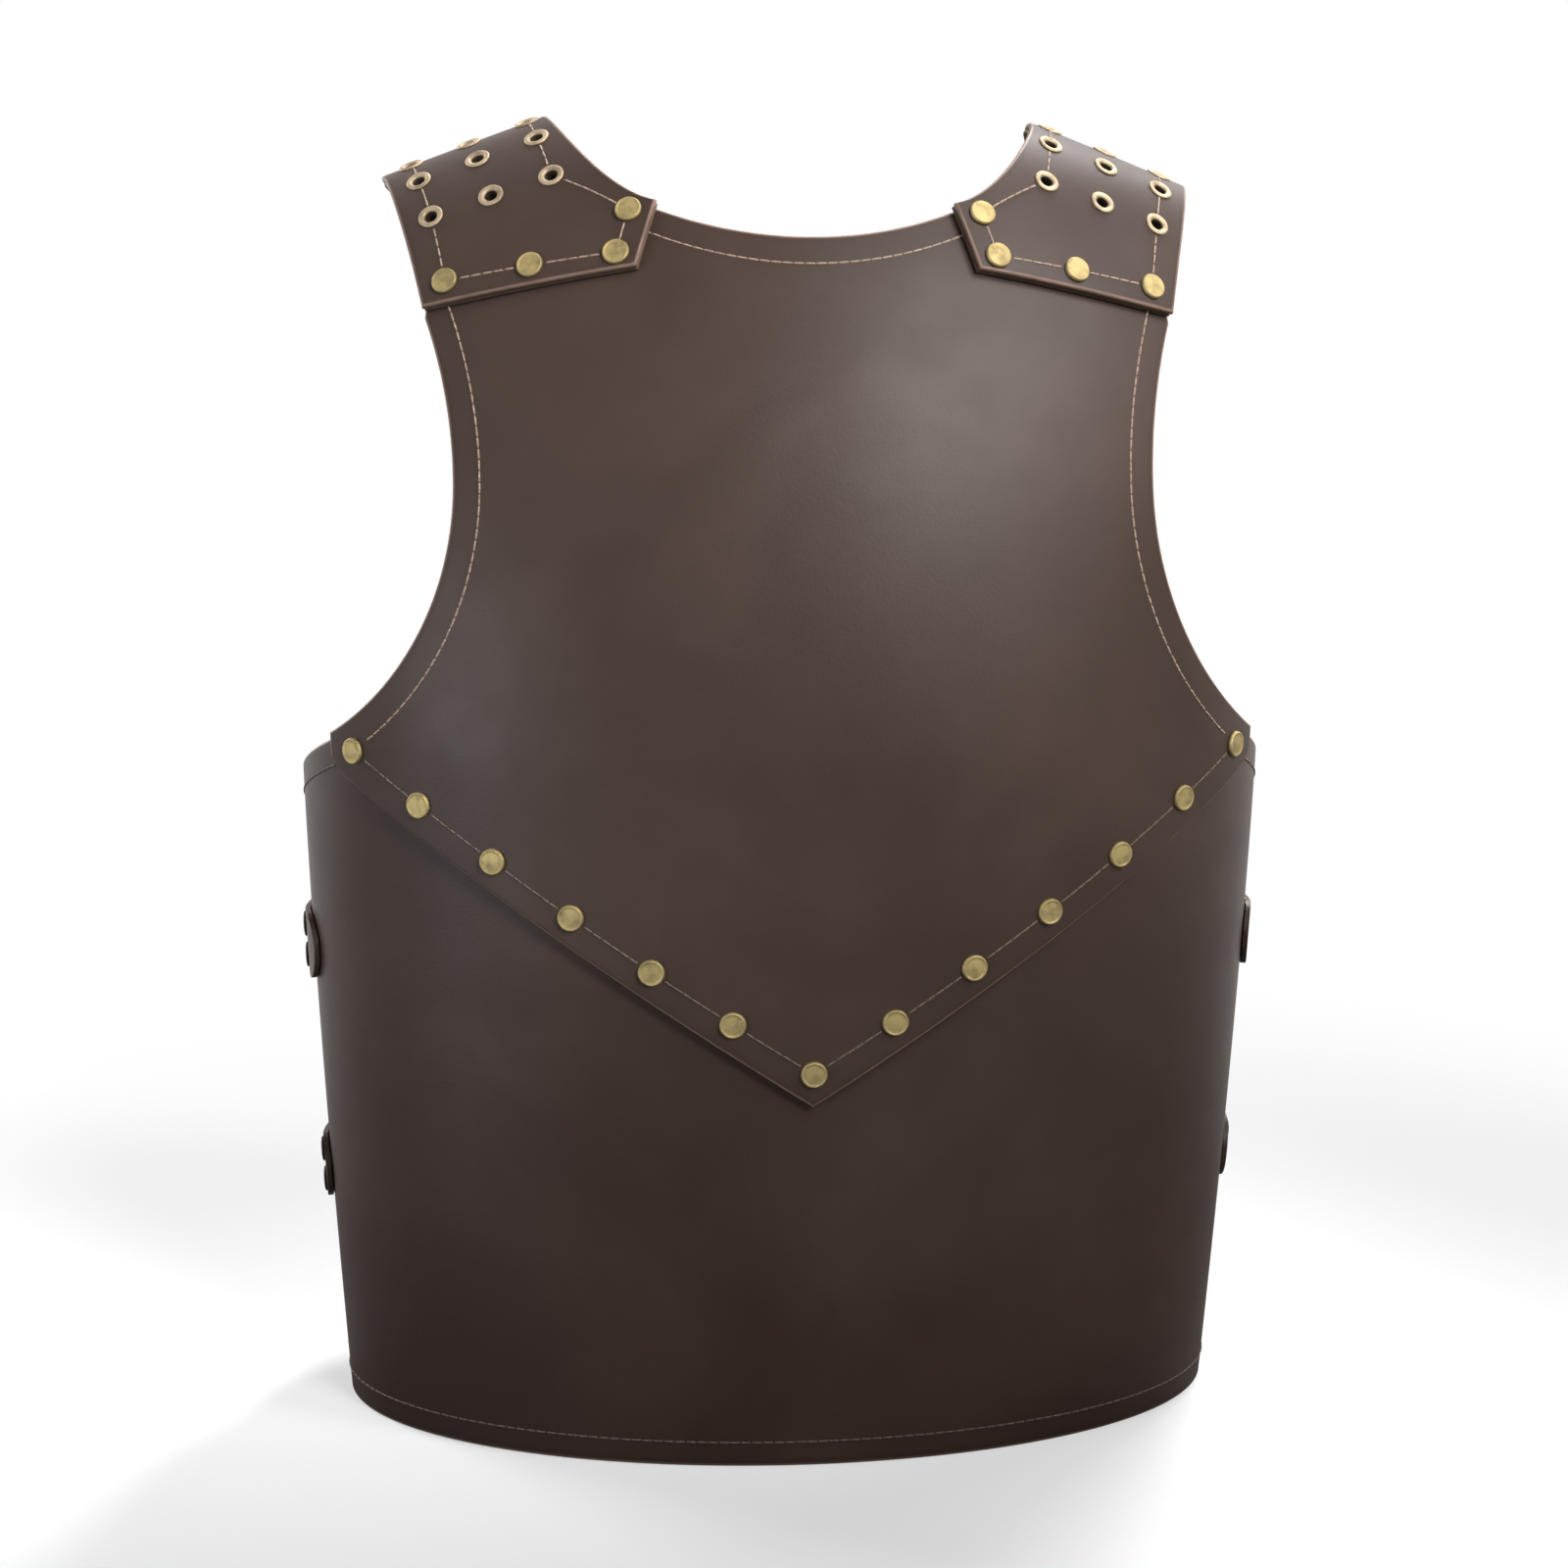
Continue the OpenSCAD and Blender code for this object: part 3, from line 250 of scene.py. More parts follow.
def make_mesh(name, verts, faces, attributes=None, smooth=True):
    """A mesh object from an array of points in millimetres and an array of faces of equal size."""
    faces = np.asarray(faces, dtype=np.int32)
    count, size = faces.shape
    mesh = bpy.data.meshes.new(name)
    mesh.vertices.add(len(verts))
    mesh.vertices.foreach_set("co", (np.asarray(verts, dtype=np.float64) * MM).astype(np.float32).ravel())
    mesh.loops.add(count * size)
    mesh.loops.foreach_set("vertex_index", faces.ravel())
    mesh.polygons.add(count)
    mesh.polygons.foreach_set("loop_start", np.arange(0, count * size, size, dtype=np.int32))
    mesh.polygons.foreach_set("use_smooth", np.full(count, smooth))
    mesh.update(calc_edges=True)
    for key, values in (attributes or {}).items():
        layer = mesh.attributes.new(key, "FLOAT", "POINT")
        layer.data.foreach_set("value", np.asarray(values, dtype=np.float32).ravel())
    mesh.validate()
    obj = bpy.data.objects.new(name, mesh)
    bpy.context.scene.collection.objects.link(obj)
    return obj


def edge_distance(points):
    """Distance of each grid point from the grid's border, measured along the grid lines."""
    across = np.linalg.norm(np.diff(points, axis=1), axis=-1)
    along = np.linalg.norm(np.diff(points, axis=0), axis=-1)
    left = np.pad(np.cumsum(across, axis=1), ((0, 0), (1, 0)))
    down = np.pad(np.cumsum(along, axis=0), ((1, 0), (0, 0)))
    return np.minimum(np.minimum(left, left[:, -1:] - left), np.minimum(down, down[-1:] - down))


def sheet_solid(name, surface, u, v, low, high, r, keep=None, floor=False):
    """A sheet of leather over a grid of a surface: P = S(u, v) + n N(u, v), n from low to high.

    Near the border the two faces draw together by r - sqrt(r^2 - (r - d)^2), d being the distance
    from the border, which rounds the edge. keep marks the tiles that are leather, and floor lays the
    hem on the ground.
    """
    base = surface(u, v)
    n = normals(surface, u, v)
    d = edge_distance(base)
    drop = r - np.sqrt(np.maximum(r * r - (r - np.minimum(d, r)) ** 2, 0))
    middle = (low + high) / 2 + 0 * d
    half = (high - low) / 2 - drop
    top = base + n * (middle + half)[..., None]
    bottom = base + n * (middle - half)[..., None]
    if floor:
        top[v <= 0, 2] = 0
        bottom[v <= 0, 2] = 0
    rows, cols = d.shape
    index = np.arange(rows * cols).reshape(rows, cols)
    tiles = np.stack([index[:-1, :-1], index[:-1, 1:], index[1:, 1:], index[1:, :-1]], -1)
    tiles = tiles[keep] if keep is not None else tiles.reshape(-1, 4)

    # A tile's side that no other tile shares is a border, and gets a wall
    starts = tiles.ravel()
    ends = np.roll(tiles, -1, axis=1).ravel()
    total = rows * cols
    border = ~np.isin(starts.astype(np.int64) * total + ends, ends.astype(np.int64) * total + starts)
    a, b = starts[border], ends[border]
    walls = np.stack([b, a, a + total, b + total], -1)

    faces = np.concatenate([tiles, tiles[:, ::-1] + total, walls])
    verts = np.concatenate([top.reshape(-1, 3), bottom.reshape(-1, 3)])
    inner = np.concatenate([np.zeros(total), np.ones(total)])
    edge = np.concatenate([d.ravel(), d.ravel()])
    used = np.zeros(2 * total, dtype=bool)
    used[faces.ravel()] = True
    renumber = np.cumsum(used) - 1
    return make_mesh(name, verts[used], renumber[faces], {"inner": inner[used], "edge": edge[used]})


def graded(start, end, count, length, ends="both"):
    """Parameters from start to end over a real length, with close ones at the ends for a rounded edge."""
    near = np.array(NEAR_LINES) / length * abs(end - start)
    sign = 1 if end > start else -1
    first = start + sign * near if ends in ("both", "start") else np.array([start])
    last = end - sign * near[::-1] if ends in ("both", "end") else np.array([end])
    middle = np.linspace(first[-1], last[0], count)
    return np.concatenate([first[:-1], middle, last[1:]])


# The body plates


def v_edge_z(x):
    """The V edge: z = tip + rise |x| + curl x^2."""
    return V_TIP + V_RISE * np.abs(x) + V_CURL * x * x


def arm_x(z, low_r):
    """Armhole edge: x = w + r - sqrt(r^2 - (z - 355)^2), with one radius below and another above."""
    low = ARM_W + low_r - np.sqrt(np.maximum(low_r**2 - (ARM_Z - z) ** 2, 0))
    high = ARM_W + ARM_HIGH_R - np.sqrt(np.maximum(ARM_HIGH_R**2 - (z - ARM_Z) ** 2, 0))
    return np.where(z < ARM_Z, low, high)


def arm_low_z(x, low_r):
    """The lower half of the armhole edge as a height over x."""
    return ARM_Z - np.sqrt(np.maximum(low_r**2 - (ARM_W + low_r - x) ** 2, 0))


def neck_edge_z(x):
    """Front neck edge: z = 440 + r - sqrt(r^2 - x^2)."""
    return NECK_Z + NECK_R - np.sqrt(NECK_R**2 - x * x)


FRONT_CORNER = np.array([NECK_X, float(neck_edge_z(NECK_X))])
BACK_CORNER_X = NECK_X + BACK_EXTRA
BACK_CORNER = np.array([BACK_CORNER_X, float(arch(np.array(BACK_CORNER_X), np.array(NECK_A))[2])])
CUT_LOW_Z = float(v_edge_z(CUT_X))
CUT_HIGH_Z = CUT_LOW_Z + CUT_SLOPE * CUT
ARM_START_Z = float(arm_low_z(CUT_X + CUT + CUT_STEP, ARM_LOW_R))


def back_neck_z(x):
    """Back neck edge: a parabola up to the back corner."""
    return lerp(BACK_NECK_Z, BACK_CORNER[1], (x / BACK_CORNER_X) ** 2)


def top_edge(s, behind):
    """Top edge of a plate: x and z at share s of the half width, through the neck corner and the tab."""
    k = np.abs(s)
    corner = BACK_CORNER if behind else FRONT_CORNER
    tab = corner + np.array(TAB_STEP)
    neck_x = corner[0] * np.clip(k / NECK_SHARE, 0, 1)
    neck_z = back_neck_z(neck_x) if behind else neck_edge_z(neck_x)
    t_tab = (k - NECK_SHARE) / (TAB_SHARE - NECK_SHARE)
    t_end = (k - TAB_SHARE) / (1 - TAB_SHARE)

    def joined(on_neck, at_corner, at_tab, at_end):
        beyond = np.where(k <= TAB_SHARE, lerp(at_corner, at_tab, t_tab), lerp(at_tab, at_end, t_end))
        return np.where(k <= NECK_SHARE, on_neck, beyond)

    return np.sign(s) * joined(neck_x, corner[0], tab[0], TAB_X), joined(neck_z, corner[1], tab[1], TAB_Z)


def tab_side_x(z, low_r):
    """Side of the tab: a straight line from the armhole's highest visible place to the tab's end."""
    return lerp(float(arm_x(np.array(ARM_TOP_Z), low_r)), TAB_X, (z - ARM_TOP_Z) / (TAB_Z - ARM_TOP_Z))


def chest_side_x(z):
    """Side of the chest plate: the cut corner, a short step, the armhole and the tab."""
    cut = lerp(CUT_X, CUT_X + CUT, (z - CUT_LOW_Z) / (CUT_HIGH_Z - CUT_LOW_Z))
    arm_start = float(arm_x(np.array(ARM_START_Z), ARM_LOW_R))
    step = lerp(CUT_X + CUT, arm_start, (z - CUT_HIGH_Z) / (ARM_START_Z - CUT_HIGH_Z))
    upper = np.where(z <= ARM_TOP_Z, arm_x(z, ARM_LOW_R), tab_side_x(z, ARM_LOW_R))
    return np.where(z <= CUT_HIGH_Z, cut, np.where(z <= ARM_START_Z, step, upper))


def columns(outer_length):
    """Shares of the half width on both sides of a plate, as one row."""
    neck = np.linspace(0, NECK_SHARE, NECK_COLUMNS)
    tab = np.linspace(NECK_SHARE, TAB_SHARE, TAB_COLUMNS)
    outer = graded(TAB_SHARE, 1, OUTER_COLUMNS, outer_length, "end")
    half = np.concatenate([neck, tab[1:], outer[1:]])
    return np.concatenate([-half[:0:-1], half])[None, :]


def spread(s, low_a, low_z, side_a, m, behind):
    """Grid from a bottom edge to the top edge that follows a side edge, m being the share of the height."""
    top_x, top_z = top_edge(s, behind)
    top_a = angle_of(top_x, top_z)
    straight_side = lerp(low_a[:, -1:], angle_of(TAB_X, TAB_Z), m)
    return lerp(low_a, top_a, m) + s * (side_a - straight_side), lerp(low_z, top_z, m)


def chest_grid():
    """The chest plate's angles and heights: rows rise from the V edge to the top, along its side edges."""
    s = columns(CHEST_OUTER_L)
    side_z = np.concatenate([
        graded(CUT_LOW_Z, CUT_HIGH_Z, CUT_ROWS, CUT_L, "start"),
        [ARM_START_Z],
        np.linspace(ARM_START_Z, ARM_TOP_Z, CHEST_ARM_ROWS)[1:],
        graded(ARM_TOP_Z, TAB_Z, TAB_ROWS, TAB_L, "end")[1:],
    ])[:, None]
    m = (side_z - CUT_LOW_Z) / (TAB_Z - CUT_LOW_Z)
    end_a = float(angle_of(CUT_X, CUT_LOW_Z))
    low_a = s * end_a
    # The V edge is written over x at the chest line, so its end is moved to the cut corner's height
    shift = CUT_LOW_Z - v_edge_z(CHEST_W * sind(end_a))
    low_z = v_edge_z(CHEST_W * sind(low_a)) + np.abs(s) * shift
    side_a = angle_of(chest_side_x(side_z), side_z)
    return spread(s, low_a, low_z, side_a, m, False)


def belly_top_z(a):
    """Top edge of the belly plate: behind the V, then below the armhole, then falling to the back."""
    x = CHEST_W * sind(np.minimum(np.abs(a), WING_A))
    below_arm = arm_low_z(np.maximum(x, ARM_W + 1), ARM_LOW_R) - WING_DROP
    front = np.minimum(v_edge_z(x) + BELLY_OVER, below_arm)
    return front - WING_FALL * np.maximum(np.abs(a) - WING_A, 0)


def belly_grid():
    """The belly plate's angles, and heights that are shares of its top edge's height at each angle."""
    a = graded(-FRONT_A, FRONT_A, BELLY_COLUMNS, BELLY_L)[None, :]
    m = graded(0, 1, BELLY_ROWS, BELLY_H)[:, None]
    return a + 0 * m, belly_top_z(a) * m


def back_grid():
    """The back plate's angles and heights: as the chest plate's, from a level hem, turned to the back."""
    s = columns(BACK_OUTER_L)
    wing_z = float(arm_low_z(CHEST_W * sind(BACK_A), ARM_BACK_R))
    side_z = np.concatenate([
        graded(0, wing_z, BACK_SIDE_ROWS, BACK_SIDE_L, "start"),
        np.linspace(wing_z, ARM_TOP_Z, BACK_ARM_ROWS)[1:],
        graded(ARM_TOP_Z, TAB_Z, TAB_ROWS, TAB_L, "end")[1:],
    ])[:, None]
    edge_x = np.where(side_z <= ARM_TOP_Z, arm_x(side_z, ARM_BACK_R), tab_side_x(side_z, ARM_BACK_R))
    side_a = np.where(side_z <= wing_z, BACK_A, angle_of(edge_x, side_z))
    a, z = spread(s, s * BACK_A, 0 * s, side_a, side_z / TAB_Z, True)
    return 180 - a[:, ::-1], z[:, ::-1]


# The shoulder pieces


def neck_side(t):
    """Neck edge of a shoulder piece, at share t of the way from the neck corner to the crest.

    x grows with sin(90 t), and f with 0.8 (1 - cos(90 t)) + 0.2 sin(90 t).
    """
    a = 90 * t
    share = (1 - NECK_STRAIGHT) * (1 - cosd(a)) + NECK_STRAIGHT * sind(a)
    return lerp(NECK_X, CREST_IN, sind(a)), lerp(NECK_A, 90, share)


def back_extra(f):
    """How much further out the neck edge stands behind: 12.5 (1 - t^3)^1.5, t the share to the crest."""
    t = np.clip((f - NECK_A) / (90 - NECK_A), 0, 1)
    return BACK_EXTRA * (1 - t**EXTRA_RISE) ** EXTRA_POWER


def outer_x(f):
    """Outer edge of a shoulder piece: x = 148 - lean |cos f|^1.5."""
    return CREST_OUT - LEAN * np.abs(cosd(f)) ** LEAN_POWER


def shoulder_grid():
    """x and f of a shoulder piece, in straight steps from its neck edge to its outer edge.

    Rows i run over the crest: the cut corner is step 0 to 1 and the crest is step 11.
    """
    corner_rows = graded(0, 1, CORNER_ROWS, CORNER_L, "start")[:-1]
    front = np.concatenate([corner_rows, np.linspace(1, CREST_STEP, SHOULDER_ROWS)])
    i = np.concatenate([front, 2 * CREST_STEP - front[-2::-1]])[:, None]
    k = np.minimum(i, 2 * CREST_STEP - i)
    behind = i > CREST_STEP
    in_x, in_f = neck_side(np.clip((k - 1) / (CREST_STEP - 1), 0, 1))
    corner = np.clip(k, 0, 1)
    in_x = np.where(k < 1, lerp(INNER_X, NECK_X, corner), in_x)
    in_f = np.where(k < 1, lerp(INNER_A, NECK_A, corner), in_f)
    in_x = in_x + np.where(behind, back_extra(in_f), 0)
    out_f = lerp(OUTER_A, 90, (in_f - INNER_A) / (90 - INNER_A))
    t = graded(0, 1, SHOULDER_COLUMNS, SHOULDER_W)[None, :]
    x = lerp(in_x, outer_x(out_f), t)
    f = lerp(in_f, out_f, t)
    return x, np.where(behind, 180 - f, f)


def arch_step(x, f, distance):
    """The change of angle f that covers a distance along the arch."""
    ahead, before = arch(np.array(x), np.array(f + 0.5)), arch(np.array(x), np.array(f - 0.5))
    return distance / float(np.linalg.norm(ahead - before))


def shoulder_rivet_places():
    """Four rivets in front, from the outer edge to the neck corner, and their likes behind."""
    f_out = OUTER_A + arch_step(float(outer_x(OUTER_A)), OUTER_A, END_INSET)
    outer = np.array([float(outer_x(f_out)) - INSET, f_out])
    inner = np.array([INNER_X + CORNER_INSET, INNER_A + arch_step(INNER_X, INNER_A, CORNER_INSET)])
    neck = np.array([NECK_X + INSET, NECK_A - NECK_RIVET_DOWN])
    front = [outer, (inner + outer) / 2, inner, neck]
    moved = [0, BACK_EXTRA / 2, BACK_EXTRA, BACK_EXTRA]
    back = [np.array([c[0] + e, 180 - c[1]]) for c, e in zip(front, moved)]
    return front, back


def eyelet_places():
    """Rows of three eyelets over the crest, each row from the outer column to the inner one."""
    step = arch_step(CREST_OUT - INSET - EYELET_COL, EYELET_SPACING_F, EYELET_ROW)
    places = []
    for r in range(EYELET_ROWS):
        f = 90 + (r - (EYELET_ROWS - 1) / 2) * step
        col = EYELET_COL - (float(back_extra(180 - f)) / 2 if f > 90 else 0)
        outer = float(outer_x(f)) - INSET - EYELET_FURTHER_IN
        places += [(outer - c * col, f) for c in range(EYELET_COLS)]
    return places


def mirrored(surface):
    """The same surface on the other side of the body, with its first parameter turned round."""
    def other(u, v):
        return surface(-u, v) * np.array([-1, 1, 1])
    return other


def lifted_arch(x, f):
    """The arch raised by the seat: P = A(x, f) + seat(f) N(x, f)."""
    p = arch(x, f)
    return p + seat_of(f)[..., None] * normals(arch, x, f)


def on_arch(place, side):
    """Seat point and outward normal of a fastener on a shoulder piece."""
    x, f = np.array([float(place[0])]), np.array([float(place[1])])
    flip = np.array([side, 1, 1])
    return lifted_arch(x, f)[0] * flip, normals(arch, x, f)[0] * flip


def on_skin(x, z):
    """Point and outward normal of a fastener on the front of the body."""
    z = np.array([float(z)])
    a = angle_of(np.array([float(x)]), z)
    return skin(a, z)[0], normals(skin, a, z)[0]


# Turned fasteners


def lathe(name, outline, places, sides=32, ring=False, shade_below=-100.0):
    """Copies of a turned shape: P = c + r(i) (cos t x + sin t y) + h(i) n at each place c, n.

    ring closes the outline on itself, and the part below the last height given is marked as sunk, for
    painted shade in the material.
    """
    outline = np.asarray(outline, dtype=float)
    turn = np.linspace(0, 2 * math.pi, sides, endpoint=False)
    count = len(outline)
    shape = np.zeros((count, sides, 3))
    shape[..., 0] = outline[:, :1] * np.cos(turn)
    shape[..., 1] = outline[:, :1] * np.sin(turn)
    shape[..., 2] = outline[:, 1:]
    shape = shape.reshape(-1, 3)
    j = np.arange(sides)
    k = (j + 1) % sides
    faces = []
    for i in range(count if ring else count - 1):
        n = (i + 1) % count
        faces.append(np.stack([i * sides + j, i * sides + k, n * sides + k, n * sides + j], -1))
    faces = np.concatenate(faces)
    verts, all_faces = [], []
    for number, (p, n) in enumerate(places):
        helper = np.array([1.0, 0, 0]) if abs(n[0]) < 0.8 else np.array([0, 0, 1.0])
        x = np.cross(helper, n)
        x /= np.linalg.norm(x)
        y = np.cross(n, x)
        verts.append(p + shape @ np.stack([x, y, n]))
        all_faces.append(faces + number * len(shape))
    # Marks the sunk part below the given height, for painted shade in the material
    sunk_shade = np.tile(np.clip(shade_below - shape[:, 2], 0, 1), len(places))
    return make_mesh(name, np.concatenate(verts), np.concatenate(all_faces), {"sunk_shade": sunk_shade})


def rivet_outline(seat, tail):
    """From the tail up: a post, then a cap with a rounded rim round a slightly domed face."""
    tiny, taper, bevel = 0.02, 0.8, 0.3
    post = [(tiny, tail), (taper * POST_R, tail), (POST_R, tail + bevel), (POST_R, seat)]
    cap = [(r * CAP_R, seat + h * CAP_H) for r, h in CAP_OUTLINE]
    return post + cap + [(tiny, seat + CAP_H)]


def eyelet_outline(low, high):
    """Closed on itself: inner flange, barrel, rolled rim and funnel mouth."""
    hole, flange = EYELET_HOLE_R, EYELET_R
    peak = lerp(hole, flange, EYELET_PEAK)
    quarter = math.pi / 2
    rim = high + EYELET_LIP
    mouth_z = high - EYELET_MOUTH
    roll = [(peak + (flange - peak) * math.cos(t), rim + EYELET_H * math.sin(t))
            for t in np.linspace(0, quarter, 7)]
    mouth = [(peak + (hole - peak) * math.sin(t), mouth_z + (rim + EYELET_H - mouth_z) * math.cos(t))
             for t in np.linspace(0, quarter, 8)[1:]]
    back, under, bevel = EYELET_BACK_R, low - EYELET_BACK_T, 0.1
    inner = [(hole, under), (back - bevel, under), (back, (low + under) / 2), (back - bevel, low)]
    barrel = [(EYELET_BARREL_R, low), (EYELET_BARREL_R, high), (flange, high)]
    return inner + barrel + roll + mouth


# Stitching


def resample(points, normal):
    """Equal steps of about the stitch pitch along a path: centres, directions and normals."""
    along = run_along(points)
    count = max(2, int(round(along[-1] / STITCH_PITCH)))
    at = (np.arange(count) + 0.5) * along[-1] / count

    def read(where, values):
        return np.stack([np.interp(where, along, values[:, k]) for k in range(3)], -1)

    def unit(vectors):
        return vectors / np.linalg.norm(vectors, axis=1, keepdims=True)

    return read(at, points), unit(read(at + 0.5, points) - read(at - 0.5, points)), unit(read(at, normal))


def stitches(name, paths):
    """Saddle stitches, each a rounded thread.

    P = c + (L / 2) s t + R (g + h (1 - s^2)) n + R(s) (cos w b + sin w n), with s from -1 to 1 along the
    direction t, the normal n, b = n x t and R(s) = R sqrt(1 - |s|^5).
    """
    sides = STITCH_SIDES
    size = STITCH_RINGS * sides
    along = np.linspace(-1, 1, STITCH_RINGS)
    turn = np.linspace(0, 2 * math.pi, sides, endpoint=False)
    radius = THREAD_R * np.sqrt(np.maximum(1 - np.abs(along) ** 5, 0.02))
    lift = THREAD_R * (STITCH_LOW + STITCH_RISE * (1 - along**2))
    i, j = np.meshgrid(np.arange(STITCH_RINGS - 1), np.arange(sides), indexing="ij")
    k = (j + 1) % sides
    round_faces = np.stack([i * sides + j, (i + 1) * sides + j, (i + 1) * sides + k, i * sides + k], -1)
    # Three faces close the eight-sided ring at each end
    near_end = np.array([[0, 1, 2, 3], [0, 3, 4, 7], [4, 5, 6, 7]])
    far_end = size - 1 - near_end[::-1]
    one = np.concatenate([round_faces.reshape(-1, 4), near_end, far_end])
    verts, faces, shade = [], [], []
    number = 0
    for points, normal in paths:
        c, t, n = resample(points, normal)
        b = np.cross(n, t)
        spine = c[:, None] + t[:, None] * (along * STITCH_L / 2)[:, None] + n[:, None] * lift[:, None]
        circle = np.cos(turn)[:, None] * b[:, None, None] + np.sin(turn)[:, None] * n[:, None, None]
        body = spine[:, :, None] + circle * radius[:, None, None]
        verts.append(body.reshape(-1, 3))
        shade.append((along[None, :, None] + 0 * body[..., 0]).ravel())
        starts = (number + np.arange(len(c))) * size
        faces.append((one[None] + starts[:, None, None]).reshape(-1, 4))
        number += len(c)
    return make_mesh(name, np.concatenate(verts), np.concatenate(faces), {"along": np.concatenate(shade)})


def surface_path(surface, u, v, lift):
    """Points and normals along a line of parameters, lifted off the surface."""
    u, v = np.asarray(u, dtype=float), np.asarray(v, dtype=float)
    normal = normals(surface, u, v)
    return surface(u, v) + lift * normal, normal


# Each piece of the looks, with the name of its material
pieces = {}


def sew(name, paths, material):
    """One piece of stitching along the paths."""
    thread = stitches(name, paths)
    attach(thread, ROOT)
    pieces[name] = (thread, material)


def replace_node(name, obj, node, material):
    """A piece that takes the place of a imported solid."""
    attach(obj, ROOT)
    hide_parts(node)
    pieces[name] = (obj, material)


# The leather sheets


def add_plate(name, grid, low, high, node, floor):
    sheet = sheet_solid(name, skin, *grid, low, high, EDGE_R, floor=floor)
    replace_node(name, sheet, node, "leather")


add_plate("chest_sheet", chest_grid(), CHEST_LOW, CHEST_HIGH, "chest_plate", False)
add_plate("belly_sheet", belly_grid(), -PLATE_T, 0, "belly_plate", True)
add_plate("back_sheet", back_grid(), -PLATE_T, 0, "back_plate", True)


def outside_eyelets(x, f):
    """Tiles of a shoulder grid that are outside every eyelet hole."""
    p = arch(x, f)
    middle = (p[:-1, :-1] + p[1:, 1:]) / 2
    keep = np.ones(middle.shape[:2], dtype=bool)
    for ex, ef in eyelet_places():
        centre = arch(np.array([ex]), np.array([ef]))[0]
        keep &= np.linalg.norm(middle - centre, axis=-1) > HOLE_R
    return keep


def add_shoulder(side, sign):
    """The shoulder piece and the lining of one side."""
    x, f = shoulder_grid()
    keep = outside_eyelets(x, f)
    surface = lifted_arch
    if sign < 0:
        surface = mirrored(lifted_arch)
        x, f, keep = -x[:, ::-1], f[:, ::-1], keep[:, ::-1]
    name = "shoulder_sheet_" + side
    sheet = sheet_solid(name, surface, x, f, TOP_LOW, TOP_HIGH, SHOULDER_EDGE_R, keep)
    replace_node(name, sheet, "shoulder_piece_" + side, "leather")
    name = "lining_sheet_" + side
    sheet = sheet_solid(name, surface, x, f, LINING_LOW, LINING_HIGH, LINING_EDGE_R, keep)
    replace_node(name, sheet, "shoulder_lining_" + side, "lining")


for side, sign in SIDES.items():
    add_shoulder(side, sign)

# Rivets and eyelets


def v_points():
    """Equal steps over the leather along the rivet line of the V."""
    x = np.linspace(0, CUT_X - V_END_INSET, V_POINTS)
    z = v_edge_z(x) + V_INSET
    along = run_along(skin(angle_of(x, z), z))
    right = np.interp(np.arange(V_SIDE + 1) * along[-1] / V_SIDE, along, x)
    return np.concatenate([-right[:0:-1], right])


v_places = [on_skin(x, v_edge_z(x) + V_INSET) for x in v_points()]
caps = lathe("v_caps", rivet_outline(V_SEAT, V_TAIL), v_places)
replace_node("v_caps", caps, "v_rivets", "brass")

FRONT_RIVETS, BACK_RIVETS = shoulder_rivet_places()
for side, sign in SIDES.items():
    name = "shoulder_caps_" + side
    places = [on_arch(place, sign) for place in FRONT_RIVETS + BACK_RIVETS]
    caps = lathe(name, rivet_outline(SHOULDER_SEAT, SHOULDER_TAIL), places)
    replace_node(name, caps, "shoulder_rivets_" + side, "brass")
    name = "eyelet_rings_" + side
    places = [on_arch(place, sign) for place in eyelet_places()]
    outline = eyelet_outline(INNER_FLANGE, SHOULDER_SEAT)
    rings = lathe(name, outline, places, ring=True, shade_below=EYELET_SHADE_Z)
    replace_node(name, rings, "eyelets_" + side, "eyelet")

# Stitch lines


def inset_arm_path(low_r, low_z, sign, behind):
    """A line inside the armhole edge, found from the edge's own normal in the plane of x and z."""
    z = np.linspace(low_z, ARM_LINE_TOP, SIDE_POINTS)
    x = arm_x(z, low_r)
    dx, dz = np.gradient(x), np.gradient(z)
    size = np.hypot(dx, dz)
    px, pz = x - INSET * dz / size, z + INSET * dx / size
    a = angle_of(sign * px, pz)
    return (180 - a if behind else a), pz


def chest_paths():
    """Along the neck and both armholes."""
    x = np.linspace(-NECK_LINE_X, NECK_LINE_X, NECK_POINTS)
    z = neck_edge_z(x) - INSET
    paths = [surface_path(skin, angle_of(x, z), z, CHEST_HIGH)]
    for sign in SIDES.values():
        a, z = inset_arm_path(ARM_LOW_R, ARM_START_Z + CHEST_LINE_RISE, sign, False)
        paths.append(surface_path(skin, a, z, CHEST_HIGH))
    return paths


def v_paths():
    """Between the rivets of the V."""
    paths = []
    for sign in SIDES.values():
        xs = v_points()
        xs = xs[xs >= 0]
        for first, second in zip(xs[:-1], xs[1:]):
            x = sign * lerp(first, second, np.linspace(*V_GAP, SPAN_POINTS))
            z = v_edge_z(x) + V_INSET
            paths.append(surface_path(skin, angle_of(x, z), z, CHEST_HIGH))
    return paths


def belly_paths():
    """Along the hem, the wings' top edges and the side edges."""
    end = FRONT_A - SIDE_INSET_A
    a = np.linspace(-end, end, HEM_POINTS)
    paths = [surface_path(skin, a, INSET + 0 * a, 0)]
    for sign in SIDES.values():
        a = np.linspace(WING_LINE_A, end, WING_POINTS)
        wing = belly_top_z(a) - WING_INSET
        paths.append(surface_path(skin, sign * a, wing, 0))
        z = np.linspace(INSET, wing[-1], SIDE_POINTS)
        paths.append(surface_path(skin, sign * end + 0 * z, z, 0))
    return paths


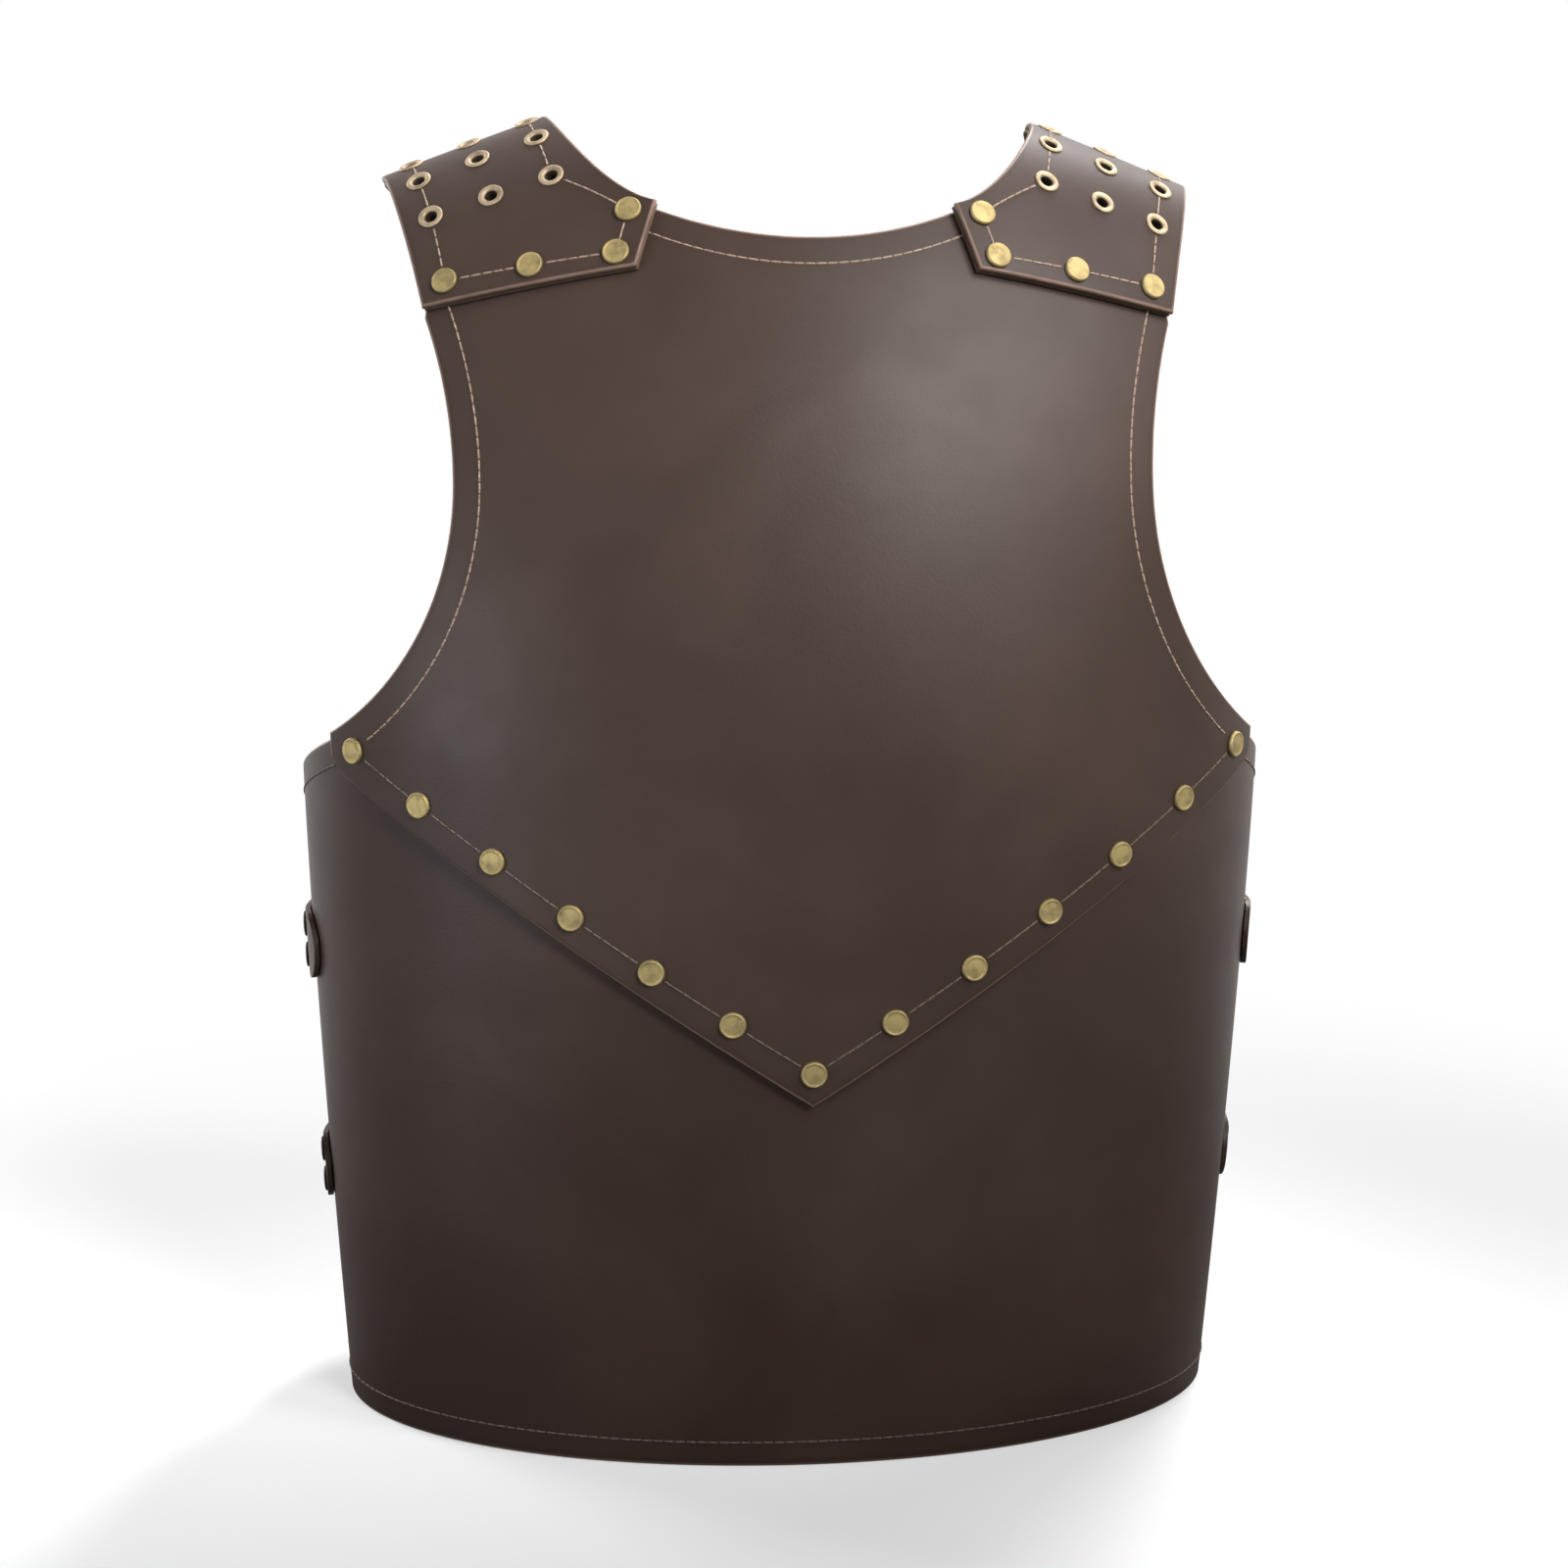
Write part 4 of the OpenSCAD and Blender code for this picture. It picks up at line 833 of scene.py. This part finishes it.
def back_paths():
    """Along the hem, the armholes, the side edges and the neck."""
    end = BACK_A - SIDE_INSET_A
    a = np.linspace(180 - end, 180 + end, HEM_POINTS)
    paths = [surface_path(skin, a, INSET + 0 * a, 0)]
    for sign in SIDES.values():
        a, z = inset_arm_path(ARM_BACK_R, BACK_LINE_LOW, sign, True)
        inside = np.abs(180 - a) < end
        paths.append(surface_path(skin, a[inside], z[inside], 0))
        z = np.linspace(INSET, z[inside][0], SIDE_POINTS)
        paths.append(surface_path(skin, 180 - sign * end + 0 * z, z, 0))
    x = np.linspace(-BACK_NECK_LINE_X, BACK_NECK_LINE_X, NECK_POINTS)
    z = back_neck_z(x) - INSET
    paths.append(surface_path(skin, 180 - angle_of(x, z), z, 0))
    return paths


def shoulder_paths(sign):
    """Through a shoulder piece's rivets and its outer and inner eyelets, clear of each fastener."""
    eyelets = np.array(eyelet_places()).reshape(EYELET_ROWS, EYELET_COLS, 2)
    half = EYELET_ROWS // 2

    def stops(rows, rivets):
        return [*rows[:, -1], *rivets[::-1], *rows[::-1, 0]]

    front = stops(eyelets[:half][::-1], FRONT_RIVETS)
    back = stops(eyelets[half:], BACK_RIVETS)
    flip = np.array([sign, 1, 1])
    paths = []
    for chain in (front, back, [front[0], back[0]], [front[-1], back[-1]]):
        for p, q in zip(chain[:-1], chain[1:]):
            t = np.linspace(0, 1, SPAN_POINTS)
            points, normal = surface_path(lifted_arch, lerp(p[0], q[0], t), lerp(p[1], q[1], t), TOP_HIGH)
            along = run_along(points)
            inside = (along > FASTENER_CLEAR) & (along < along[-1] - FASTENER_CLEAR)
            if inside.sum() > 3:
                paths.append((points[inside] * flip, normal[inside] * flip))
    return paths


sew("chest_stitches", chest_paths(), "thread")
# The V and the belly get the darker copy of the thread, as painted shade
sew("v_stitches", v_paths(), "thread_shaded")
sew("belly_stitches", belly_paths(), "thread_shaded")
sew("back_stitches", back_paths(), "thread")
for side, sign in SIDES.items():
    sew("shoulder_stitches_" + side, shoulder_paths(sign), "thread")

# Materials


class Sock:
    """A shader value that is written in formulas: its operators add Math nodes."""

    def __init__(self, tree, out):
        self.tree = tree
        self.out = out

    @staticmethod
    def node(tree, kind, settings, sockets, output=0):
        """Adds a node, with its settings first and then its sockets' values or links; gives one output."""
        node = tree.nodes.new(kind)
        for key, value in settings.items():
            setattr(node, key, value)
        for key, value in sockets.items():
            put(tree, node.inputs[key], value)
        return Sock(tree, node.outputs[output])

    def math(self, operation, *others):
        numbered = dict(enumerate((self,) + others))
        return Sock.node(self.tree, "ShaderNodeMath", {"operation": operation}, numbered)

    def __add__(self, other):
        return self.math("ADD", other)

    def __sub__(self, other):
        return self.math("SUBTRACT", other)

    def __mul__(self, other):
        return self.math("MULTIPLY", other)

    def __rsub__(self, other):
        return (self * -1.0) + other

    __radd__ = __add__
    __rmul__ = __mul__

    def between(self, low, high):
        """0 below low, 1 above high, smooth between."""
        settings = {"interpolation_type": "SMOOTHSTEP"}
        sockets = {"Value": self, "From Min": low, "From Max": high}
        return Sock.node(self.tree, "ShaderNodeMapRange", settings, sockets, "Result")


def put(tree, socket, value):
    """Links a shader value to a socket, or sets a plain one."""
    if isinstance(value, Sock):
        tree.links.new(value.out, socket)
    else:
        socket.default_value = value


def mix_color(factor, a, b):
    """Colour a where the factor is 0 and b where it is 1, by the Mix node's sockets for colours."""
    return Sock.node(factor.tree, "ShaderNodeMix", {"data_type": "RGBA"}, {0: factor, 6: a, 7: b}, 2)


def mix_shaders(factor, a, b, out):
    """Shader a where the factor is 0 and b where it is 1, into an output node."""
    mixed = Sock.node(factor.tree, "ShaderNodeMixShader", {}, {0: factor, 1: a, 2: b})
    put(factor.tree, out.inputs["Surface"], mixed)


def dimmed(colour, share):
    """A colour times a share, opaque."""
    return tuple(share * c for c in colour[:3]) + (1,)


def new_material(name):
    """A new material with its node tree, its main shader and the object's own coordinates."""
    material = bpy.data.materials.new(name)
    material.use_nodes = True
    tree = material.node_tree
    shader = tree.nodes["Principled BSDF"]
    where = Sock.node(tree, "ShaderNodeTexCoord", {}, {}, "Object")
    return material, tree, shader, where


def ray(tree, kind):
    """1 for light rays of a kind, and 0 for all others."""
    return Sock.node(tree, "ShaderNodeLightPath", {}, {}, kind)


def noise(where, scale, detail=3.0, rough=0.5, warp=0.0):
    """Noise over the object's own coordinates; scale is in features per metre."""
    sockets = {"Vector": where, "Scale": scale, "Detail": detail, "Roughness": rough, "Distortion": warp}
    return Sock.node(where.tree, "ShaderNodeTexNoise", {}, sockets)


def cells(where, scale, feature="F1"):
    """Distance to the nearest of scattered points, or to the border between their cells."""
    sockets = {"Vector": where, "Scale": scale}
    return Sock.node(where.tree, "ShaderNodeTexVoronoi", {"feature": feature}, sockets, "Distance")


def attribute(where, name):
    """A value that the mesh carries at its points."""
    return Sock.node(where.tree, "ShaderNodeAttribute", {"attribute_name": name}, {}, "Fac")


def bump(height, strength, distance, normal=None):
    """A normal tilted by a height, on top of another normal where one is given."""
    sockets = {"Height": height, "Strength": strength, "Distance": distance}
    if normal is not None:
        sockets["Normal"] = normal
    return Sock.node(height.tree, "ShaderNodeBump", {}, sockets)


def strap_border(where):
    """Distance of a strap's point from the strap's long edges, in millimetres, from its height alone."""
    z = Sock.node(where.tree, "ShaderNodeSeparateXYZ", {}, {"Vector": where}, "Z") * (1 / MM)
    upper, lower = [(z - middle).math("ABSOLUTE") for middle in STRAP_Z]
    return STRAP_W / 2 - upper.math("MINIMUM", lower)


# Leather: the stretches in millimetres from an edge that is painted pale (rubbed wear and painted
# highlight) or darkened, how strong each is, and the radius in metres that rounds the edges of the straps'
# solids
RUBBED_AND_HIGHLIT, SHADED = (0.6, 1.5), (1.4, 3.6)
WEAR_HIGHLIGHT_LEAST, WEAR_HIGHLIGHT_MORE, SHADE = 0.35, 0.5, 0.15
STRAP_ROUND = 0.0004
# Features per metre: the leather's colour clouds, mottles, specks, fibres inside, pebbles, creases and
# waves, then the brass's tarnish and specks, the thread's fuzz and the floor's tones
CLOUDS, MOTTLES, SPECKS, FIBRES, PEBBLES, CREASES, WAVES = 9.0, 55.0, 700.0, 260.0, 760.0, 330.0, 26.0
TARNISH, BRASS_SPECKS, FUZZ, FLOOR_TONES = 180.0, 1500.0, 900.0, 1.5
LEATHER_SPECULAR, THREAD_SPECULAR = 0.13, 0.2
# Painted shade: the near black inside the eyelet barrels
FLESH_SIDE, BARREL_SHADE = (0.12, 0.078, 0.05, 1), (0.02, 0.016, 0.012, 1)


def leather_material(name, dark, light, shine, rub_and_highlight, strap=False):
    """Waxed leather: mottled, with a fine grain and a rough inner face.

    shine is the least roughness, and after it comes how many times as pale as the light colour the edges
    are painted, as rubbed wear and a painted highlight.
    """
    material, tree, shader, where = new_material(name)
    cloud = noise(where, CLOUDS, 4.0, 0.55, 0.4)
    mottle = noise(where, MOTTLES, 5.0, 0.6)
    fine = noise(where, SPECKS, 3.0, 0.6)
    colour = mix_color(cloud.between(0.3, 0.72), dark, light)
    colour = mix_color(mottle.between(0.35, 0.75) * 0.3, colour, dark)
    colour = mix_color(fine.between(0.45, 0.8) * 0.15, colour, light)
    edge = strap_border(where) if strap else attribute(where, "edge")
    # Painted highlight and rubbed wear: a pale band along the rounded edges
    rubbed_and_highlit = 1.0 - edge.between(*RUBBED_AND_HIGHLIT)
    shaded = 1.0 - edge.between(*SHADED)
    wear_and_highlight = mottle.between(0.2, 0.6) * WEAR_HIGHLIGHT_MORE + WEAR_HIGHLIGHT_LEAST
    colour = mix_color(shaded * SHADE, colour, dimmed(dark, 0.5))
    colour = mix_color(rubbed_and_highlit * wear_and_highlight, colour, dimmed(light, rub_and_highlight))
    inner = attribute(where, "inner").between(0.7, 0.95)
    fibre = noise(where, FIBRES, 6.0, 0.75)
    under = mix_color(fibre.between(0.3, 0.8), dimmed(FLESH_SIDE, 0.7), FLESH_SIDE)
    put(tree, shader.inputs["Base Color"], mix_color(inner, colour, under))
    put(tree, shader.inputs["Roughness"], mottle * 0.12 + fine * 0.08 + shine + inner * 0.35)
    grain = cells(where, PEBBLES).between(0.05, 0.75)
    crease = cells(where, CREASES, "DISTANCE_TO_EDGE").between(0.0, 0.09)
    wave = noise(where, WAVES, 3.0, 0.5)
    rounded = Sock.node(tree, "ShaderNodeBevel", {}, {"Radius": STRAP_ROUND}) if strap else None
    small = bump(grain * -0.5 + crease * 0.25 + fine * 0.3, 0.10, 0.0003, rounded)
    put(tree, shader.inputs["Normal"], bump(wave + mottle * 0.3, 0.12, 0.0012, small))
    shader.inputs["Specular IOR Level"].default_value = LEATHER_SPECULAR
    return material


def brass_material(name, bright, dull, glint):
    """Aged brass: tarnish in patches, fine specks, and painted shade inside the barrels."""
    material, tree, shader, where = new_material(name)
    patch = noise(where, TARNISH, 5.0, 0.65)
    speck = noise(where, BRASS_SPECKS, 3.0, 0.6)
    colour = mix_color(patch.between(0.42, 0.72), bright, dull)
    colour = mix_color(speck.between(0.55, 0.8) * 0.45, colour, glint)
    # Painted shade: the sunk insides of the barrels are darkened nearly to black
    sunk_shade = attribute(where, "sunk_shade").between(0.0, 0.9)
    colour = mix_color(sunk_shade * 0.85, colour, BARREL_SHADE)
    put(tree, shader.inputs["Base Color"], colour)
    put(tree, shader.inputs["Roughness"], patch * 0.18 + speck * 0.1 + sunk_shade * 0.15 + 0.52)
    put(tree, shader.inputs["Normal"], bump(speck + patch * 0.6, 0.22, 0.0003))
    shader.inputs["Metallic"].default_value = 1.0
    return material


def thread_material(name, dark, light):
    """Waxed thread: twisted, with a little painted shade where it dips into the leather."""
    material, tree, shader, where = new_material(name)
    along = attribute(where, "along")
    # Painted shade: the thread is darkened towards its ends, where it dips into the leather
    end = along.math("ABSOLUTE").between(0.7, 1.0)
    fuzz = noise(where, FUZZ, 4.0, 0.7)
    colour = mix_color(fuzz.between(0.3, 0.7), dark, light)
    put(tree, shader.inputs["Base Color"], mix_color(end * 0.15, colour, dimmed(dark, 0.35)))
    put(tree, shader.inputs["Roughness"], fuzz * 0.2 + 0.6)
    twist = (along * 9.0 + fuzz * 1.5).math("SINE")
    put(tree, shader.inputs["Normal"], bump(twist, 0.3, 0.0002))
    shader.inputs["Specular IOR Level"].default_value = THREAD_SPECULAR
    return material


# Floor: distances in metres over which it turns into the white backdrop, how far it glows close by,
# its colour as the camera sees it, and the darker colour that it throws on the object
FLOOR_FADE, FLOOR_GLOW = (0.3, 0.75), 0.45
FLOOR_PALE, FLOOR_PALER, FLOOR_THROWN = (0.84, 0.84, 0.84, 1), (0.87, 0.87, 0.87, 1), (0.2, 0.2, 0.2, 1)


def floor_material(name):
    """Pale floor: it keeps the shadow near the object and runs into the white backdrop further off."""
    material, tree, shader, where = new_material(name)
    tone = noise(where, FLOOR_TONES, 3.0, 0.5)
    camera = ray(tree, "Is Camera Ray")
    pale = mix_color(tone, FLOOR_PALE, FLOOR_PALER)
    put(tree, shader.inputs["Base Color"], mix_color(camera, FLOOR_THROWN, pale))
    put(tree, shader.inputs["Roughness"], tone * 0.1 + 0.85)
    shader.inputs["Specular IOR Level"].default_value = 0.0
    reach = Sock.node(tree, "ShaderNodeVectorMath", {"operation": "LENGTH"}, {"Vector": where}, "Value")
    far = reach.between(*FLOOR_FADE)
    seen = camera * (far * (1.0 - FLOOR_GLOW) + FLOOR_GLOW)
    reflected = (ray(tree, "Is Glossy Ray") + ray(tree, "Is Transmission Ray")) * far
    backdrop = (seen + reflected).math("MINIMUM", 1.0)
    white = Sock.node(tree, "ShaderNodeEmission", {}, {})
    mix_shaders(backdrop, Sock(tree, shader.outputs[0]), white, tree.nodes["Material Output"])
    return material


BODY = {"dark": (0.030, 0.0180, 0.0136, 1), "light": (0.047, 0.030, 0.0232, 1)}
STRAP = {"dark": (0.024, 0.0145, 0.0095, 1), "light": (0.042, 0.0265, 0.018, 1)}
LINING = {"dark": (0.050, 0.031, 0.020, 1), "light": (0.080, 0.052, 0.034, 1)}
AGED = {"bright": (0.29, 0.228, 0.105, 1), "dull": (0.17, 0.13, 0.066, 1), "glint": (0.38, 0.31, 0.165, 1)}
PALE_BRASS = {"bright": (0.31, 0.245, 0.165, 1), "dull": (0.19, 0.145, 0.095, 1),
              "glint": (0.42, 0.35, 0.25, 1)}
BLACKENED = {"bright": (0.05, 0.04, 0.03, 1), "dull": (0.03, 0.024, 0.018, 1),
             "glint": (0.12, 0.10, 0.07, 1)}
WAXED_THREAD = {"dark": (0.21, 0.145, 0.105, 1), "light": (0.33, 0.245, 0.19, 1)}
# A darker copy of the waxed thread: painted shade for the stitches of the V and the belly
THREAD_IN_SHADE = {"dark": (0.080, 0.058, 0.046, 1), "light": (0.135, 0.102, 0.082, 1)}
MATERIALS = {
    "leather": leather_material("leather_brown", shine=0.35, rub_and_highlight=3.6, **BODY),
    "strap": leather_material("leather_strap", shine=0.34, rub_and_highlight=2.2, strap=True, **STRAP),
    "lining": leather_material("leather_lining", shine=0.5, rub_and_highlight=1.2, **LINING),
    "brass": brass_material("brass_aged", **AGED),
    "eyelet": brass_material("brass_eyelet", **PALE_BRASS),
    "dark_brass": brass_material("brass_blackened", **BLACKENED),
    "thread": thread_material("thread_waxed", **WAXED_THREAD),
    "thread_shaded": thread_material("thread_painted_shade", **THREAD_IN_SHADE),
}


def material_of(node):
    """The material of a solid, from its name."""
    if node.startswith(("billet_rivets", "chape_rivets")):
        return "dark_brass"
    if node.startswith(("billet", "chape", "keeper")):
        return "strap"
    if "lining" in node:
        return "lining"
    if "plate" in node or "shoulder_piece" in node:
        return "leather"
    return "brass"


def dress(obj, key):
    """Gives an object one material."""
    obj.data.materials.clear()
    obj.data.materials.append(MATERIALS[key])


for obj, key in pieces.values():
    dress(obj, key)
for node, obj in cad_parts.items():
    dress(obj, material_of(node))

# Stage, light and camera: places are in metres

CAMERA_AT = Vector((-0.1113, -1.0863, 0.418))
CAMERA_TO = Vector((0.0, 0.0, 0.236))
CAMERA_LENS, SENSOR_W = 66.0, 36
CAMERA_ROLL = math.radians(0.43)
VIEW_END = 50

# Half size of the floor and its height, a little below the hem, in millimetres
FLOOR_SIZE, FLOOR_Z = 6000.0, -0.2

# Each lamp: its name, where it stands, what it points at, width and height, power in watts, and then,
# where it is narrow or tinted, its spread in degrees and its colour
LAMPS = (
    ("key", (0.58, -1.02, 1.15), (0.06, -0.1, 0.58), (0.8, 0.8), 3.0, 29),
    ("shoulder", (0.70, -0.50, 1.1), (0.15, -0.04, 0.46), (0.4, 0.4), 0.6, 30),
    ("crest", (0.45, 0.6, 1.45), (0.12, -0.04, 0.46), (0.7, 0.7), 2.4, 25),
    ("fill", (-1.15, -0.78, 0.22), (-0.12, 0, 0.27), (0.4, 0.4), 0.68, 40, (0.84, 0.92, 1.0)),
    ("rim_left", (-1.3, 1.0, 0.8), (0, 0, 0.25), (0.6, 1.2), 26),
    ("rim_right", (1.3, 1.0, 0.8), (0, 0, 0.25), (0.6, 1.2), 14),
)
# The world: the colour and strength that light the object, and the white that is seen
WORLD_TINT, WORLD_STRENGTH = (0.95, 0.97, 1.0, 1), 0.08
WHITE = (1, 1, 1, 1)


def add_floor():
    s, z = FLOOR_SIZE, FLOOR_Z
    verts = [(-s, -s, z), (s, -s, z), (s, s, z), (-s, s, z)]
    floor = make_mesh("floor", verts, [[0, 1, 2, 3]], smooth=False)
    floor.data.materials.append(floor_material("floor_pale"))


def add_lamp(name, at, to, size, power, spread=180, colour=(1, 1, 1)):
    """An area lamp that points from one place to another."""
    light = bpy.data.lights.new(name, "AREA")
    light.shape = "RECTANGLE"
    light.size, light.size_y = size
    light.energy = power
    light.spread = math.radians(spread)
    light.color = colour
    obj = bpy.data.objects.new(name, light)
    obj.location = at
    obj.rotation_euler = (Vector(to) - Vector(at)).to_track_quat("-Z", "Y").to_euler()
    bpy.context.scene.collection.objects.link(obj)


def add_world():
    """A soft world light, and plain white where the camera or a reflection looks past the object."""
    world = bpy.data.worlds.new("studio")
    bpy.context.scene.world = world
    world.use_nodes = True
    tree = world.node_tree
    tree.nodes.clear()
    light = Sock.node(tree, "ShaderNodeBackground", {}, {"Color": WORLD_TINT, "Strength": WORLD_STRENGTH})
    seen = Sock.node(tree, "ShaderNodeBackground", {}, {"Color": WHITE})
    shown = ray(tree, "Is Camera Ray") + ray(tree, "Is Glossy Ray") + ray(tree, "Is Transmission Ray")
    mix_shaders(shown.math("MINIMUM", 1.0), light, seen, tree.nodes.new("ShaderNodeOutputWorld"))


def add_camera():
    data = bpy.data.cameras.new("camera")
    data.lens = CAMERA_LENS
    data.sensor_width = SENSOR_W
    data.clip_end = VIEW_END
    camera = bpy.data.objects.new("camera", data)
    aim = (CAMERA_TO - CAMERA_AT).to_track_quat("-Z", "Y").to_matrix().to_4x4()
    camera.matrix_world = Matrix.Translation(CAMERA_AT) @ aim @ Matrix.Rotation(CAMERA_ROLL, 4, "Z")
    bpy.context.scene.collection.objects.link(camera)
    bpy.context.scene.camera = camera


add_floor()
add_world()
for lamp in LAMPS:
    add_lamp(*lamp)
add_camera()
bpy.context.scene.view_settings.view_transform = "Standard"
